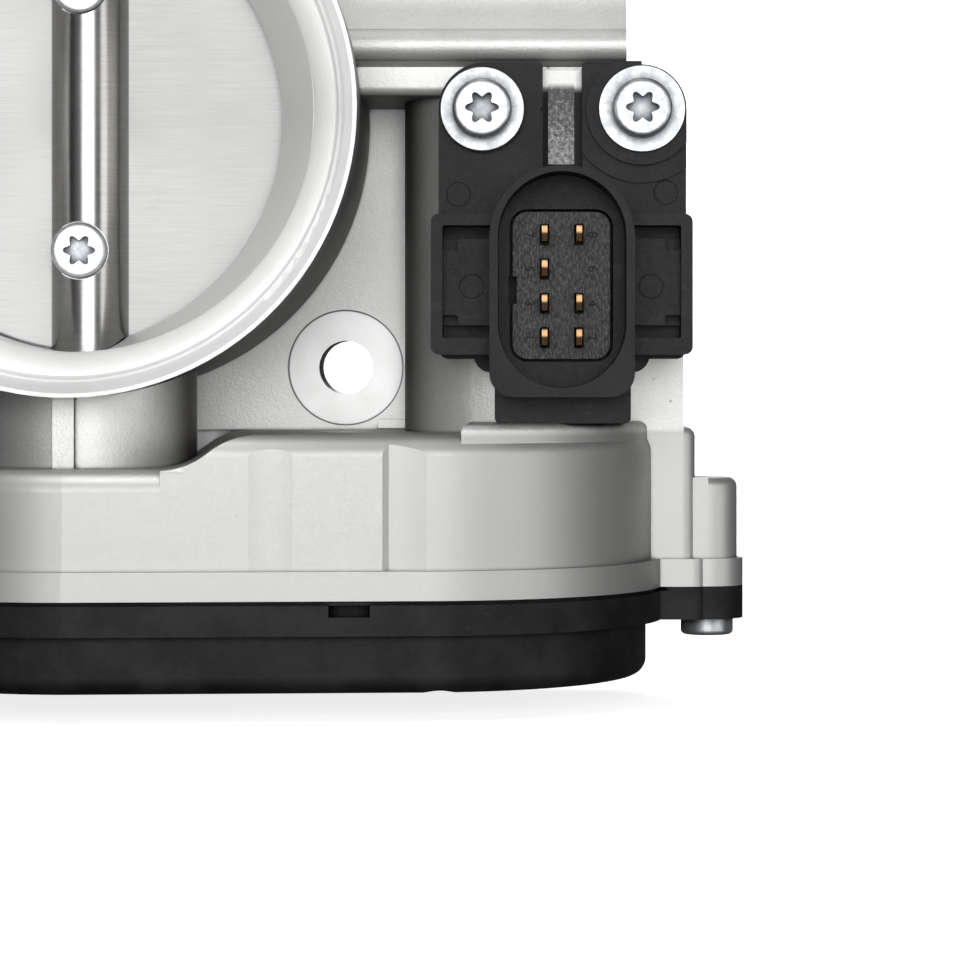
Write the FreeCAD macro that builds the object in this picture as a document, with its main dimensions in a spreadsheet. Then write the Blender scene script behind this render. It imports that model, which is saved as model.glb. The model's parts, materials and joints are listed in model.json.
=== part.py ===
"""Electronic throttle body: the parametric model, in millimetres.

+X runs from the bore towards the motor, +Y runs downstream, +Z is up along the throttle shaft.
The origin is the centre of the manifold flange's rear face, on the bore's axis.
"""

import math
import os
import re

import FreeCAD, Part

DIMENSIONS = {
    # Bore, barrel and manifold flange.
    "body_length": 60.0,
    "bore_radius": 35.0,
    "collar_radius": 41.6,
    "barrel_radius": 41.1,
    "collar_length": 9.0,
    "lip_radius": 40.1,
    "lip_step_radius": 38.5,
    "lip_step_depth": 1.5,
    "mouth_depth": 8.0,
    "flange_thick": 12.0,
    "flange_half": 47.0,
    "flange_corner": 11.0,
    "bolt_half": 37.3,
    "bolt_radius": 4.2,
    "spot_radius": 9.0,
    "spot_depth": 0.6,
    # Crescent ledge that follows the plate's edge just off its closed position.
    "ledge_shift": 5.3,
    "ledge_small": 34.4,
    "ledge_large": 40.2,
    "ledge_gap": 0.65,
    # Throttle shaft, plate and bearings.
    "shaft_y": -33.0,
    "shaft_radius": 5.9,
    "shaft_top": 48.0,
    "shaft_low": -71.0,
    "shaft_flat": 1.6,
    "plate_radius": 34.6,
    "plate_thick": 2.5,
    "plate_tilt": 5.0,
    "plate_screw_z": 19.8,
    "boss_radius": 16.0,
    "upper_boss_radius": 11.5,
    "upper_boss_top": 53.0,
    "bearing_radius": 11.0,
    "bearing_width": 6.0,
    "bearing_low": -54.5,
    "needle_radius": 8.0,
    "needle_width": 10.0,
    "needle_low": 37.5,
    "seal_radius": 9.5,
    "seal_width": 3.0,
    "running_gap": 0.03,
    "plate_screw_aside": -1.46,
    "clearance": 0.02,
    # Gear case under the barrel.
    "case_radius": 31.0,
    "case_straight": 49.3,
    "case_turn_radius": 35.7,
    "case_turn_y": -25.0,
    "case_corner": 10.0,
    "case_wall": 3.0,
    "case_top": -47.0,
    "case_low_top": -52.0,
    "case_bottom": -70.5,
    "case_ramp_start": 14.5,
    "case_ramp_end": 28.0,
    "lip_out": 1.5,
    "lip_height": 4.2,
    "ear_x": 93.4,
    "ear_y": -24.5,
    "ear_radius": 4.6,
    "ear_top": -54.0,
    "shoulder_left": 78.0,
    "shoulder_right": 91.4,
    "shoulder_front": -30.0,
    "shoulder_back": -6.0,
    "shoulder_top": -46.3,
    "pad_top": -45.4,
    "pad_left": 56.5,
    # Motor housing and the beam that closes its upper end.
    "motor_x": 64.0,
    "motor_y": -22.0,
    "motor_case_radius": 17.0,
    "motor_radius": 14.0,
    "motor_top": -3.6,
    "motor_low": -52.0,
    "motor_shaft_radius": 1.6,
    "beam_end": 80.7,
    "beam_front": -38.0,
    "beam_low": 3.3,
    "beam_high": 31.0,
    # Gear train.
    "sector_module": 1.0,
    "sector_teeth": 52,
    "idler_small_teeth": 12,
    "idler_module": 0.75,
    "idler_large_teeth": 66,
    "pinion_teeth": 24,
    "sector_low": -72.5,
    "sector_thick": 5.0,
    "idler_large_low": -79.5,
    "idler_large_thick": 4.0,
    "idler_small_top": -67.0,
    "idler_pin_radius": 2.5,
    "throttle_open": 82.0,
    "throttle_shut": 5.0,
    # Cover under the gear case.
    "cover_rim": 5.0,
    "cover_low": -84.0,
    "cover_inset": 1.0,
    "cover_wall": 2.2,
    # Electrical connector.
    "plug_x": 70.95,
    "plug_front": -60.0,
    "plug_floor": -49.4,
    "plug_island": -49.9,
    "plug_back": -39.5,
    "plug_plate": 4.0,
    "plug_half_width": 10.4,
    "plug_wall": 1.2,
    "plug_top": -8.3,
    "plug_bottom": -41.5,
    "plug_plate_top": 7.9,
    "plug_plate_left": 52.8,
    "plug_plate_right": 89.4,
    "ear_screw_left": 59.3,
    "ear_screw_right": 82.8,
    "ear_screw_z": 0.8,
    "pin_pitch": 5.0,
    "pin_top_z": -17.9,
    "pin_thick": 0.8,
    "pin_wide": 2.8,
    "pin_tip": -55.5,
}

doc = FreeCAD.newDocument("throttle_body")
sheet = doc.addObject("Spreadsheet::Sheet", "Sizes")
for row, (alias, value) in enumerate(DIMENSIONS.items(), start=1):
    sheet.set(f"A{row}", alias)
    sheet.set(f"B{row}", str(value))
    sheet.setAlias(f"B{row}", alias)
doc.recompute()

NODES = []


def size(alias):
    """The value of one driving dimension."""
    return float(sheet.get(alias))


def formula(text):
    """Turns 'bore_radius + 2' into an expression that reads the sheet."""
    return re.sub(r"[a-z_]+", lambda word: "Sizes." + word.group(0), str(text))


def bind(item, **properties):
    """Binds properties to formulas; x, y and z are the placement's base."""
    for name, text in properties.items():
        target = {"x": "Placement.Base.x", "y": "Placement.Base.y", "z": "Placement.Base.z"}.get(name, name)
        item.setExpression(target, formula(text if isinstance(text, str) else f"{text:.6f}"))
    return item


TURN = {
    "Z": FreeCAD.Rotation(),
    "-Z": FreeCAD.Rotation(FreeCAD.Vector(1, 0, 0), 180),
    "Y": FreeCAD.Rotation(FreeCAD.Vector(1, 0, 0), -90),
    "-Y": FreeCAD.Rotation(FreeCAD.Vector(1, 0, 0), 90),
    "X": FreeCAD.Rotation(FreeCAD.Vector(0, 1, 0), 90),
}


def cylinder(name, radius, height, x=0, y=0, z=0, axis="Z"):
    item = doc.addObject("Part::Cylinder", name)
    item.Placement.Rotation = TURN[axis]
    return bind(item, Radius=radius, Height=height, x=x, y=y, z=z)


def cone(name, first, second, height, x=0, y=0, z=0, axis="Z"):
    item = doc.addObject("Part::Cone", name)
    item.Placement.Rotation = TURN[axis]
    return bind(item, Radius1=first, Radius2=second, Height=height, x=x, y=y, z=z)


def box(name, length, width, height, x=0, y=0, z=0):
    item = doc.addObject("Part::Box", name)
    return bind(item, Length=length, Width=width, Height=height, x=x, y=y, z=z)


def place(item, placement):
    """Sets a turned placement on a primitive in place of its bound position."""
    for part in ("x", "y", "z"):
        item.setExpression("Placement.Base." + part, None)
    item.Placement = placement
    return item


def fuse(name, *items):
    item = doc.addObject("Part::MultiFuse", name)
    item.Shapes = list(items)
    item.Refine = True
    return item


def cut(name, base, *tools):
    item = doc.addObject("Part::Cut", name)
    item.Base = base
    item.Tool = tools[0] if len(tools) == 1 else fuse(name + "_tools", *tools)
    item.Refine = True
    return item


def join_in_turn(name, kind, base, items):
    """A long join or cut, one piece at a time."""
    current = base
    for i, piece in enumerate(items, start=1):
        item = doc.addObject(kind, f"{name}_{i}")
        item.Base = current
        item.Tool = piece
        current = item
    return current


def common(name, *items):
    item = doc.addObject("Part::MultiCommon", name)
    item.Shapes = list(items)
    return item


def group(name, items):
    """Separate solids that share one node."""
    item = doc.addObject("Part::Compound", name)
    item.Links = list(items)
    return item


def solid(name, shape):
    """A piece whose shape is made by code from the sheet's sizes."""
    item = doc.addObject("Part::Feature", name)
    item.Shape = shape
    return item


def extrude(name, sketch, length, direction=(0, 0, 1)):
    item = doc.addObject("Part::Extrusion", name)
    item.Base = sketch
    item.DirMode = "Custom"
    item.Dir = FreeCAD.Vector(*direction)
    item.Solid = True
    return bind(item, LengthFwd=length)


def outline(name, geometry, z=0):
    """A closed sketch in a level plane, from lines and arcs in their final places."""
    item = doc.addObject("Sketcher::SketchObject", name)
    item.addGeometry(geometry, False)
    return bind(item, z=z)


def rounded(name, base, radius, wanted):
    """Rounds the edges of base whose bounding box the test accepts."""
    doc.recompute()
    item = doc.addObject("Part::Fillet", name)
    item.Base = base
    picked = [i for i, edge in enumerate(base.Shape.Edges, start=1) if wanted(edge.BoundBox)]
    amount = size(radius) if isinstance(radius, str) else radius
    item.Edges = [(i, amount, amount) for i in picked]
    return item


def node(label, item):
    """Names a finished piece; its file takes the name."""
    item.Label = label
    NODES.append(item)
    return item


def vec(x, y, z=0.0):
    return FreeCAD.Vector(x, y, z)


def line(start, end):
    return Part.LineSegment(vec(*start), vec(*end))


def arc(start, middle, end):
    return Part.Arc(vec(*start), vec(*middle), vec(*end))


def slab_upright(left, right, low, high, corner):
    """Wire of a rounded rectangle in the X-Z plane at Y = 0."""
    k = corner * (1 - math.sqrt(0.5))
    edges = [
        Part.LineSegment(vec(left + corner, 0, low), vec(right - corner, 0, low)),
        Part.Arc(vec(right - corner, 0, low), vec(right - k, 0, low + k), vec(right, 0, low + corner)),
        Part.LineSegment(vec(right, 0, low + corner), vec(right, 0, high - corner)),
        Part.Arc(vec(right, 0, high - corner), vec(right - k, 0, high - k), vec(right - corner, 0, high)),
        Part.LineSegment(vec(right - corner, 0, high), vec(left + corner, 0, high)),
        Part.Arc(vec(left + corner, 0, high), vec(left + k, 0, high - k), vec(left, 0, high - corner)),
        Part.LineSegment(vec(left, 0, high - corner), vec(left, 0, low + corner)),
        Part.Arc(vec(left, 0, low + corner), vec(left + k, 0, low + k), vec(left + corner, 0, low)),
    ]
    return Part.Wire([edge.toShape() for edge in edges])


def rounded_slab(name, left, right, low, high, corner, front, back):
    """A rounded rectangle in X-Z, thick along Y."""
    face = Part.Face(slab_upright(left, right, low, high, corner))
    face.translate(vec(0, front, 0))
    return solid(name, face.extrude(vec(0, back - front, 0)))


# ---------------------------------------------------------------- outlines of the gear case

def case_outline(offset):
    """The gear case seen from above, moved outwards by offset."""
    shaft_y = size("shaft_y")
    radius = size("case_radius") + offset
    turn = size("case_turn_radius") + offset
    corner = size("case_corner") + offset
    straight = size("case_straight")
    turn_y = size("case_turn_y")
    right = straight + size("case_turn_radius")
    corner_x = right - size("case_corner")
    corner_y = shaft_y + size("case_radius") - size("case_corner")
    half = math.sqrt(0.5)
    front = shaft_y - radius
    back = shaft_y + radius
    return [
        arc((0, back), (-radius, shaft_y), (0, front)),
        line((0, front), (straight, turn_y - turn)),
        arc((straight, turn_y - turn), (straight + turn * half, turn_y - turn * half), (right + offset, turn_y)),
        line((right + offset, turn_y), (right + offset, corner_y)),
        arc((right + offset, corner_y), (corner_x + corner * half, corner_y + corner * half), (corner_x, back)),
        line((corner_x, back), (0, back)),
    ]


def case_block(name, offset, low, height):
    """A slab of the gear case's outline."""
    return extrude(name, outline(name + "_outline", case_outline(offset), low), height)


COVER_SCREWS = [
    (size("ear_x"), size("ear_y")),
    (-24.4, -57.4),
    (-24.4, -8.6),
    (53.0, -54.9),
    (52.0, -7.5),
]
EAR_COUNT = 3
SCREW_BOSS_RADIUS = [4.6, 4.6, 4.6, 3.6, 3.6]


# ---------------------------------------------------------------- the aluminium casting

def bore_cutter():
    """The bore with its two-step bell mouth, turned about the bore's axis."""
    front = -size("body_length")
    bore = size("bore_radius")
    lip = size("lip_radius")
    step = size("lip_step_radius")
    step_y = front + size("lip_step_depth")
    mouth_y = front + size("mouth_depth")
    first = Part.Arc(vec(lip, front), vec(lip - 1.25, front + 0.55), vec(step, step_y))
    second = Part.Arc(vec(step, step_y), vec(step - 2.3, step_y + 2.4), vec(bore, mouth_y))
    edges = [
        Part.LineSegment(vec(0, front - 1), vec(lip, front - 1)),
        Part.LineSegment(vec(lip, front - 1), vec(lip, front)),
        first,
        second,
        Part.LineSegment(vec(bore, mouth_y), vec(bore, 1)),
        Part.LineSegment(vec(bore, 1), vec(0, 1)),
        Part.LineSegment(vec(0, 1), vec(0, front - 1)),
    ]
    face = Part.Face(Part.Wire([edge.toShape() for edge in edges]))
    return solid("bore_cutter", face.revolve(vec(0, 0, 0), vec(0, 1, 0), 360))


def ledge():
    """Crescent on the motor side upstream of the plate, and its mirror on the far side downstream."""
    shaft_y = size("shaft_y")
    reach = size("plate_thick") / 2 + size("ledge_gap")
    long = 17.0
    made = []
    for side, far in ((1, -1), (-1, 1)):
        near_y = shaft_y + far * reach
        direction = vec(0, far, 0)
        ring = Part.makeCylinder(size("bore_radius") + 0.4, long, vec(0, near_y, 0), direction)
        shift = vec(-side * size("ledge_shift"), near_y, 0)
        tool = Part.makeCone(size("ledge_small"), size("ledge_large"), long, shift, direction)
        made.append(ring.cut(tool))
    return [solid(f"ledge_{i}", shape) for i, shape in enumerate(made, start=1)]


def flange_parts():
    half = size("flange_half")
    plate = rounded_slab("flange_plate", -half, half, -half, half, size("flange_corner"),
                         -size("flange_thick"), 0)
    holes = []
    spots = []
    for i, (side, up) in enumerate([(1, -1), (1, 1), (-1, -1), (-1, 1)], start=1):
        x = f"{side} * bolt_half"
        z = f"{up} * bolt_half"
        holes.append(cylinder(f"bolt_hole_{i}", "bolt_radius", "flange_thick + 2", x, "-flange_thick - 1", z, "Y"))
        spots.append(cylinder(f"bolt_spot_{i}", "spot_radius", "spot_depth + 30", x,
                              "-flange_thick - 30", z, "Y"))
    return plate, holes, spots


def shoulder_rim(name, low, high, left="shoulder_left"):
    """The joint's rim round the shoulder beside the case's curved front."""
    rim = size("lip_out")
    start = size(left) if isinstance(left, str) else left
    return rounded_slab_level(name, start, size("shoulder_right") + rim, size("shoulder_front") - 0.8,
                              size("shoulder_back") + rim, 2.0, low, high)


def gear_case():
    """Outer block of the gear case, with the higher top on the motor side and a lip at the joint."""
    low = case_block("case_low_block", 0, "case_bottom", "case_low_top - case_bottom")
    high = case_block("case_high_block", 0, "case_bottom + 1", "case_top - case_bottom - 1")
    start = size("case_ramp_start")
    end = size("case_ramp_end")
    low_top = size("case_low_top")
    top = size("case_top")
    middle = (start + end) / 2
    rise = (top - low_top) / 2
    points = [
        Part.LineSegment(vec(start, -70, low_top - 16), vec(start, -70, low_top)),
        Part.Arc(vec(start, -70, low_top), vec(start + 3.6, -70, low_top + rise * 0.28),
                 vec(middle, -70, low_top + rise)),
        Part.Arc(vec(middle, -70, low_top + rise), vec(end - 3.6, -70, top - rise * 0.28), vec(end, -70, top)),
        Part.LineSegment(vec(end, -70, top), vec(110, -70, top)),
        Part.LineSegment(vec(110, -70, top), vec(110, -70, low_top - 16)),
        Part.LineSegment(vec(110, -70, low_top - 16), vec(start, -70, low_top - 16)),
    ]
    face = Part.Face(Part.Wire([edge.toShape() for edge in points]))
    ramp = solid("case_ramp", face.extrude(vec(-8, 80, 0)))
    soft_low = rounded("case_low_soft", low, "case_wall", lambda b: b.ZMin > low_top - 0.1)
    soft_high = rounded("case_high_soft", high, "case_wall", lambda b: b.ZMin > top - 0.1)
    upper = common("case_upper", soft_high, ramp)
    lip = case_block("case_lip", size("lip_out"), "case_bottom", "lip_height")
    parts = [soft_low, upper, lip]
    for i, (x, y) in enumerate(COVER_SCREWS[:EAR_COUNT], start=1):
        boss = cylinder(f"ear_boss_{i}", "ear_radius", "ear_top - case_bottom", x, y, "case_bottom")
        foot = cylinder(f"ear_foot_{i}", "ear_radius + 0.9", "lip_height", x, y, "case_bottom")
        toward = 80.0 if x > 0 else -16.0
        neck = box(f"ear_neck_{i}", abs(x - toward), "2 * ear_radius", "ear_top - case_bottom",
                   min(x, toward), f"{y} - ear_radius", "case_bottom")
        parts += [rounded(f"ear_soft_{i}", boss, "lip_out", lambda b: b.ZMin > size("ear_top") - 0.1), foot, neck]
    low_edge = size("case_bottom")
    shape = case_block("leg_pad_shape", -0.6, -60.0, "pad_top + 60")
    side = box("leg_pad_side", 40, 38, 20, "pad_left", -66, -60)
    pad = common("leg_pad", shape, side)
    parts.append(rounded("leg_pad_soft", pad, 1.2, lambda b: b.ZMin > size("pad_top") - 0.1))
    shoulder = rounded_slab_level("shoulder", size("shoulder_left"), size("shoulder_right"), size("shoulder_front"),
                                  size("shoulder_back"), 2.0, low_edge, size("shoulder_top"))
    parts.append(rounded("shoulder_soft", shoulder, 1.5, lambda b: b.ZMin > size("shoulder_top") - 0.1))
    parts.append(shoulder_rim("shoulder_lip", low_edge, low_edge + size("lip_height")))
    return parts


def motor_and_beam():
    tube = cylinder("motor_case", "motor_case_radius", "beam_low - case_top + 3.7", "motor_x", "motor_y",
                    "case_top - 1")
    web = box("flange_web", 20, 7, 78, 44, -11.5, "case_top")
    beam_edges = [
        Part.LineSegment(vec(0, -4, 3.3), vec(0, -36.5, 3.3)),
        Part.Arc(vec(0, -36.5, 3.3), vec(0, -37.6, 3.8), vec(0, -38.0, 4.8)),
        Part.LineSegment(vec(0, -38.0, 4.8), vec(0, -38.0, 7.6)),
        Part.LineSegment(vec(0, -38.0, 7.6), vec(0, -39.2, 8.4)),
        Part.Arc(vec(0, -39.2, 8.4), vec(0, -40.9, 10.8), vec(0, -39.2, 13.2)),
        Part.Arc(vec(0, -39.2, 13.2), vec(0, -36.7, 20.5), vec(0, -39.2, 27.5)),
        Part.Arc(vec(0, -39.2, 27.5), vec(0, -38.3, 30.2), vec(0, -35.5, 31.0)),
        Part.LineSegment(vec(0, -35.5, 31.0), vec(0, -4, 31.0)),
        Part.LineSegment(vec(0, -4, 31.0), vec(0, -4, 3.3)),
    ]
    face = Part.Face(Part.Wire([edge.toShape() for edge in beam_edges]))
    face.translate(vec(30, 0, 0))
    beam = solid("beam", face.extrude(vec(size("beam_end") - 30, 0, 0)))
    rib = box("plug_rib", 3.8, 10.0, 11.9, 69.0, -46.0, -7.4)
    seats = [
        cylinder(f"plug_seat_{side}", 5.2, 14, f"ear_screw_{side}", "plug_back", "ear_screw_z", "Y")
        for side in ("left", "right")
    ]
    backing = box("plug_backing", 26.0, 9.0, 40.0, 60.4, -39.3, -33.0)
    slab = box("side_slab", 25.3, 8.0, 36.0, 64.3, "shoulder_front", -48.0)
    return [tube, web, beam, rib, backing, slab] + seats


def case_front(x):
    """Where the case's straight front wall stands at x."""
    start = size("shaft_y") - size("case_radius")
    end = size("case_turn_y") - size("case_turn_radius")
    return start + (end - start) * x / size("case_straight")


def case_creases():
    """A small set-back with a sharp left side that eases out to the right, and a faint hollow beside it."""
    low = size("case_bottom") + size("lip_height")
    x = 45.3
    y = case_front(x)
    points = [(x, y - 2.0), (x, y), (x + 0.9, y + 0.62), (x + 6.4, case_front(x + 6.4) - 0.1), (x + 6.4, y - 2.0)]
    middle = (x + 3.2, case_front(x + 3.2) + 0.36)
    edges = [
        line(points[0], points[1]),
        line(points[1], points[2]),
        arc(points[2], middle, points[3]),
        line(points[3], points[4]),
        line(points[4], points[0]),
    ]
    step = extrude("case_step", outline("case_step_outline", edges, low), 25.0)
    faint = 31.0
    depth = 0.15
    radius = 24.0
    hollow = cylinder("case_hollow", radius, 25.0, faint, case_front(faint) - radius + depth,
                      "case_bottom + lip_height")
    return [step, hollow]


def casting():
    plate, holes, spots = flange_parts()
    barrel = cylinder("barrel", "barrel_radius", "body_length - collar_length - 1", 0,
                      "collar_length - body_length", 0, "Y")
    collar = cylinder("collar", "collar_radius", "collar_length", 0, "-body_length", 0, "Y")
    boss = cylinder("shaft_boss", "boss_radius", 30, 0, "shaft_y", -68)
    upper = cylinder("upper_boss", "upper_boss_radius", "upper_boss_top - 30", 0, "shaft_y", 30)
    rib = box("boss_rib", 3.1, 16, 13, -3.2, -50.9, -53.0)
    left_rib = box("upper_rib", 3.1, 12, 12, -1.55, -47.0, 37.0)
    step = box("flange_step", 4.7, 1.5, 1.3, 42.4, -12.6, -46.8)
    back_wall = box("case_back_wall", 84, 7, 8.5, -24.0, -9.5, -54.0)
    corner = box("flange_corner_fill", 11, "flange_thick", 11, 36.0, "-flange_thick", "case_top")
    round_parts = fuse("casting_bore_side", barrel, collar, boss, upper, rib, left_rib)
    motor_parts = fuse("casting_motor_side", *motor_and_beam())
    case_parts = fuse("casting_gear_case", *gear_case())
    flat_parts = fuse("casting_flange_side", plate, corner, step, back_wall)
    outside = join_in_turn("casting_outside", "Part::Fuse", flat_parts, [round_parts, motor_parts, case_parts])

    chamber_low = case_block("chamber_low", -size("case_wall"), "case_bottom - 1",
                             "case_low_top - case_wall - case_bottom + 1")
    chamber_high = case_block("chamber_high", -size("case_wall"), "case_bottom - 1",
                              "case_top - case_wall - case_bottom + 1")
    high_side = box("chamber_side", 70, 80, 40, "case_ramp_end + 1", -72, "case_bottom - 2")
    chamber = fuse("chamber", chamber_low, common("chamber_upper", chamber_high, high_side))
    columns = []
    for i, (x, y) in enumerate(COVER_SCREWS[EAR_COUNT:], start=EAR_COUNT):
        columns.append(cylinder(f"column_{i}", SCREW_BOSS_RADIUS[i], 30, x, y, "case_bottom - 2"))
    stand = cylinder("idler_stand", 5.0, 16, IDLER_X, IDLER_Y, -64.0)
    chamber_cut = cut("chamber_cut", chamber, *columns, stand)

    motor_pocket = cylinder("motor_pocket", "motor_radius + 0.2", "motor_top - case_top + 6.85", "motor_x",
                            "motor_y", "case_top - 6")
    seal_seat = rounded_slab_level("seal_seat", 61.55, 72.05, -51.45, -40.55, 3.05, -46.42, -43.0)
    shaft_bore = cylinder("shaft_bore", "shaft_radius + 0.3", 130, 0, "shaft_y", -70)
    bearing_bore = cylinder("bearing_bore", "bearing_radius + clearance", "bearing_width + 16", 0, "shaft_y",
                            "bearing_low - 16")
    needle_bore = cylinder("needle_bore", "needle_radius + clearance", "needle_width + 20", 0, "shaft_y", "needle_low")
    cap_bore = cylinder("cap_bore", "9.0 + clearance", 20, 0, "shaft_y", 49.0)
    seal_bore = cylinder("seal_bore", "seal_radius + clearance", "seal_width", 0, "shaft_y",
                         "bearing_low + bearing_width + 0.5")
    idler_bore = cylinder("idler_bore", "idler_pin_radius + clearance", 14, IDLER_X, IDLER_Y, -66.0)
    leg_hole = rounded_slab_level("leg_hole", 62.8, 70.8, -50.2, -41.8, 2.5, -53.0, -44.0)
    creases = case_creases()
    stop_hole = cylinder("stop_bore", "2.0 + clearance", 14, -14.0, -66.0, -62.0, "Y")
    tools = [bore_cutter(), chamber_cut, motor_pocket, shaft_bore, bearing_bore, needle_bore, cap_bore,
             seal_bore, idler_bore, leg_hole, seal_seat, stop_hole] + holes + spots + creases
    for i, (x, y) in enumerate(COVER_SCREWS):
        tools.append(cylinder(f"cover_tap_{i}", "1.5 + clearance", 12.5, x, y, "case_bottom - 1"))
    for i, angle in enumerate(MOTOR_SCREW_ANGLES):
        x, y = motor_screw_place(angle)
        tools.append(cylinder(f"motor_tap_{i}", "1.5 + clearance", 5.0, x, y, -52.5))
    for side in ("left", "right"):
        tools.append(cylinder(f"plug_tap_{side}", "2.0 + clearance", 13, f"ear_screw_{side}", "plug_back - 1",
                              "ear_screw_z", "Y"))
    groups = [tools[i::3] for i in range(3)]
    cutters = [fuse(f"casting_cutters_{i}", *members) for i, members in enumerate(groups, start=1)]
    body = join_in_turn("casting_bored", "Part::Cut", outside, cutters)
    node("throttle_housing", join_in_turn("casting_ledge", "Part::Fuse", body, ledge_clear()))


def ledge_clear():
    """The crescents with the shaft's way left through them."""
    way = Part.makeCylinder(size("shaft_radius") + 0.3, 90, vec(0, size("shaft_y"), -45), vec(0, 0, 1))
    made = []
    for item in ledge():
        made.append(solid(item.Name + "_clear", item.Shape.cut(way)))
    return made


def rounded_slab_level(name, left, right, front, back, corner, low, high):
    """A rounded rectangle in X-Y, standing along Z."""
    k = corner * (1 - math.sqrt(0.5))
    edges = [
        line((left + corner, front), (right - corner, front)),
        arc((right - corner, front), (right - k, front + k), (right, front + corner)),
        line((right, front + corner), (right, back - corner)),
        arc((right, back - corner), (right - k, back - k), (right - corner, back)),
        line((right - corner, back), (left + corner, back)),
        arc((left + corner, back), (left + k, back - k), (left, back - corner)),
        line((left, back - corner), (left, front + corner)),
        arc((left, front + corner), (left + k, front + k), (left + corner, front)),
    ]
    return extrude(name, outline(name + "_outline", edges, low), high - low)


# ---------------------------------------------------------------- gear train

PRESSURE = math.radians(25)
ADDENDUM = 0.8
DEDENDUM = 1.1
BACKLASH = 0.14


def meet(first, first_reach, second, second_reach):
    """The point at both reaches, on the front side of the line between the two centres."""
    dx = second[0] - first[0]
    dy = second[1] - first[1]
    gap = math.hypot(dx, dy)
    along = (first_reach ** 2 - second_reach ** 2 + gap ** 2) / (2 * gap)
    aside = math.sqrt(first_reach ** 2 - along ** 2)
    return first[0] + (along * dx + aside * dy) / gap, first[1] + (along * dy - aside * dx) / gap


def pitch_radius(module, teeth):
    return size(module) * size(teeth) / 2


SHAFT = (0.0, size("shaft_y"))
MOTOR = (size("motor_x"), size("motor_y"))
SECTOR_PITCH = pitch_radius("sector_module", "sector_teeth")
SMALL_PITCH = pitch_radius("sector_module", "idler_small_teeth")
LARGE_PITCH = pitch_radius("idler_module", "idler_large_teeth")
PINION_PITCH = pitch_radius("idler_module", "pinion_teeth")
IDLER_X, IDLER_Y = meet(SHAFT, SECTOR_PITCH + SMALL_PITCH, MOTOR, LARGE_PITCH + PINION_PITCH)
SHAFT_TO_IDLER = math.atan2(IDLER_Y - SHAFT[1], IDLER_X - SHAFT[0])
IDLER_TO_MOTOR = math.atan2(MOTOR[1] - IDLER_Y, MOTOR[0] - IDLER_X)


def involute(angle):
    return math.tan(angle) - angle


def gear(centre, module, teeth, phase, low, thick):
    """A spur gear with one tooth pointing along phase."""
    pitch = module * teeth / 2
    base = pitch * math.cos(PRESSURE)
    root = pitch - DEDENDUM * module
    tip = pitch + ADDENDUM * module
    start = max(root, base)
    half = (math.pi * module / 2 - BACKLASH) / (2 * pitch) + involute(PRESSURE)

    def spread(radius):
        return half - involute(math.acos(min(1.0, base / radius)))

    def point(radius, angle):
        return vec(centre[0] + radius * math.cos(angle), centre[1] + radius * math.sin(angle), low)

    edges = []
    middle = (start + tip) / 2
    for i in range(int(teeth)):
        axis = phase + i * 2 * math.pi / teeth
        rising = [point(r, axis - spread(r)) for r in (start, middle, tip)]
        falling = [point(r, axis + spread(r)) for r in (tip, middle, start)]
        if root < start:
            edges.append(Part.LineSegment(point(root, axis - spread(start)), rising[0]))
        edges.append(Part.Arc(*rising))
        edges.append(Part.Arc(rising[2], point(tip, axis), falling[0]))
        edges.append(Part.Arc(*falling))
        if root < start:
            edges.append(Part.LineSegment(falling[2], point(root, axis + spread(start))))
        following = axis + 2 * math.pi / teeth
        low_start = point(root, axis + spread(start))
        low_end = point(root, following - spread(start))
        edges.append(Part.Arc(low_start, point(root, (axis + following) / 2), low_end))
    face = Part.Face(Part.Wire([edge.toShape() for edge in edges]))
    return face.extrude(vec(0, 0, thick))


def wedge(centre, first, last, reach, low, thick):
    """A pie slice between two angles."""
    points = [vec(centre[0], centre[1], low)]
    count = 8
    for i in range(count + 1):
        angle = first + (last - first) * i / count
        points.append(vec(centre[0] + reach * math.cos(angle), centre[1] + reach * math.sin(angle), low))
    points.append(points[0])
    return Part.Face(Part.makePolygon(points)).extrude(vec(0, 0, thick))


def sector_gear():
    low = size("sector_low")
    thick = size("sector_thick")
    margin = math.radians(11)
    first = SHAFT_TO_IDLER - math.radians(size("throttle_open")) - margin
    last = SHAFT_TO_IDLER + math.radians(size("throttle_shut")) + margin
    teeth = gear(SHAFT, size("sector_module"), int(size("sector_teeth")), SHAFT_TO_IDLER, low, thick)
    sector = solid("sector_teeth", teeth.common(wedge(SHAFT, first, last, 40.0, low, thick)))
    middle = (first + last) / 2
    window = Part.makeCylinder(20.0, thick + 2, vec(0, SHAFT[1], low - 1))
    window = window.cut(Part.makeCylinder(12.5, thick + 2, vec(0, SHAFT[1], low - 1)))
    gap = math.radians(16)
    for side in (-1, 1):
        slice_one = wedge(SHAFT, middle + side * gap / 2, middle + side * gap * 2.3, 40.0, low - 1, thick + 2)
        sector = solid(sector.Name + "_open", sector.Shape.cut(window.common(slice_one)))
    disc = cylinder("sector_disc", 11.0, "sector_thick", 0, "shaft_y", "sector_low")
    hub = cylinder("sector_hub", 8.6, 15.5, 0, "shaft_y", "sector_low")
    stop_arm = box("sector_arm", 7.0, 5.0, "sector_thick", -16.0, -46.0, "sector_low")
    arm_neck = box("sector_neck", 8.0, 12.0, "sector_thick", -14.0, -43.0, "sector_low")
    bore = cylinder("sector_bore", "shaft_radius + clearance", 20, 0, "shaft_y", "shaft_low")
    magnet_seat = cylinder("magnet_seat", "3.2 + clearance", 3.0, 0, "shaft_y", "sector_low - 1.5")
    whole = fuse("sector_whole", sector, disc, hub, stop_arm, arm_neck)
    node("sector_gear", cut("sector_gear_cut", whole, bore, magnet_seat))


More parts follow.
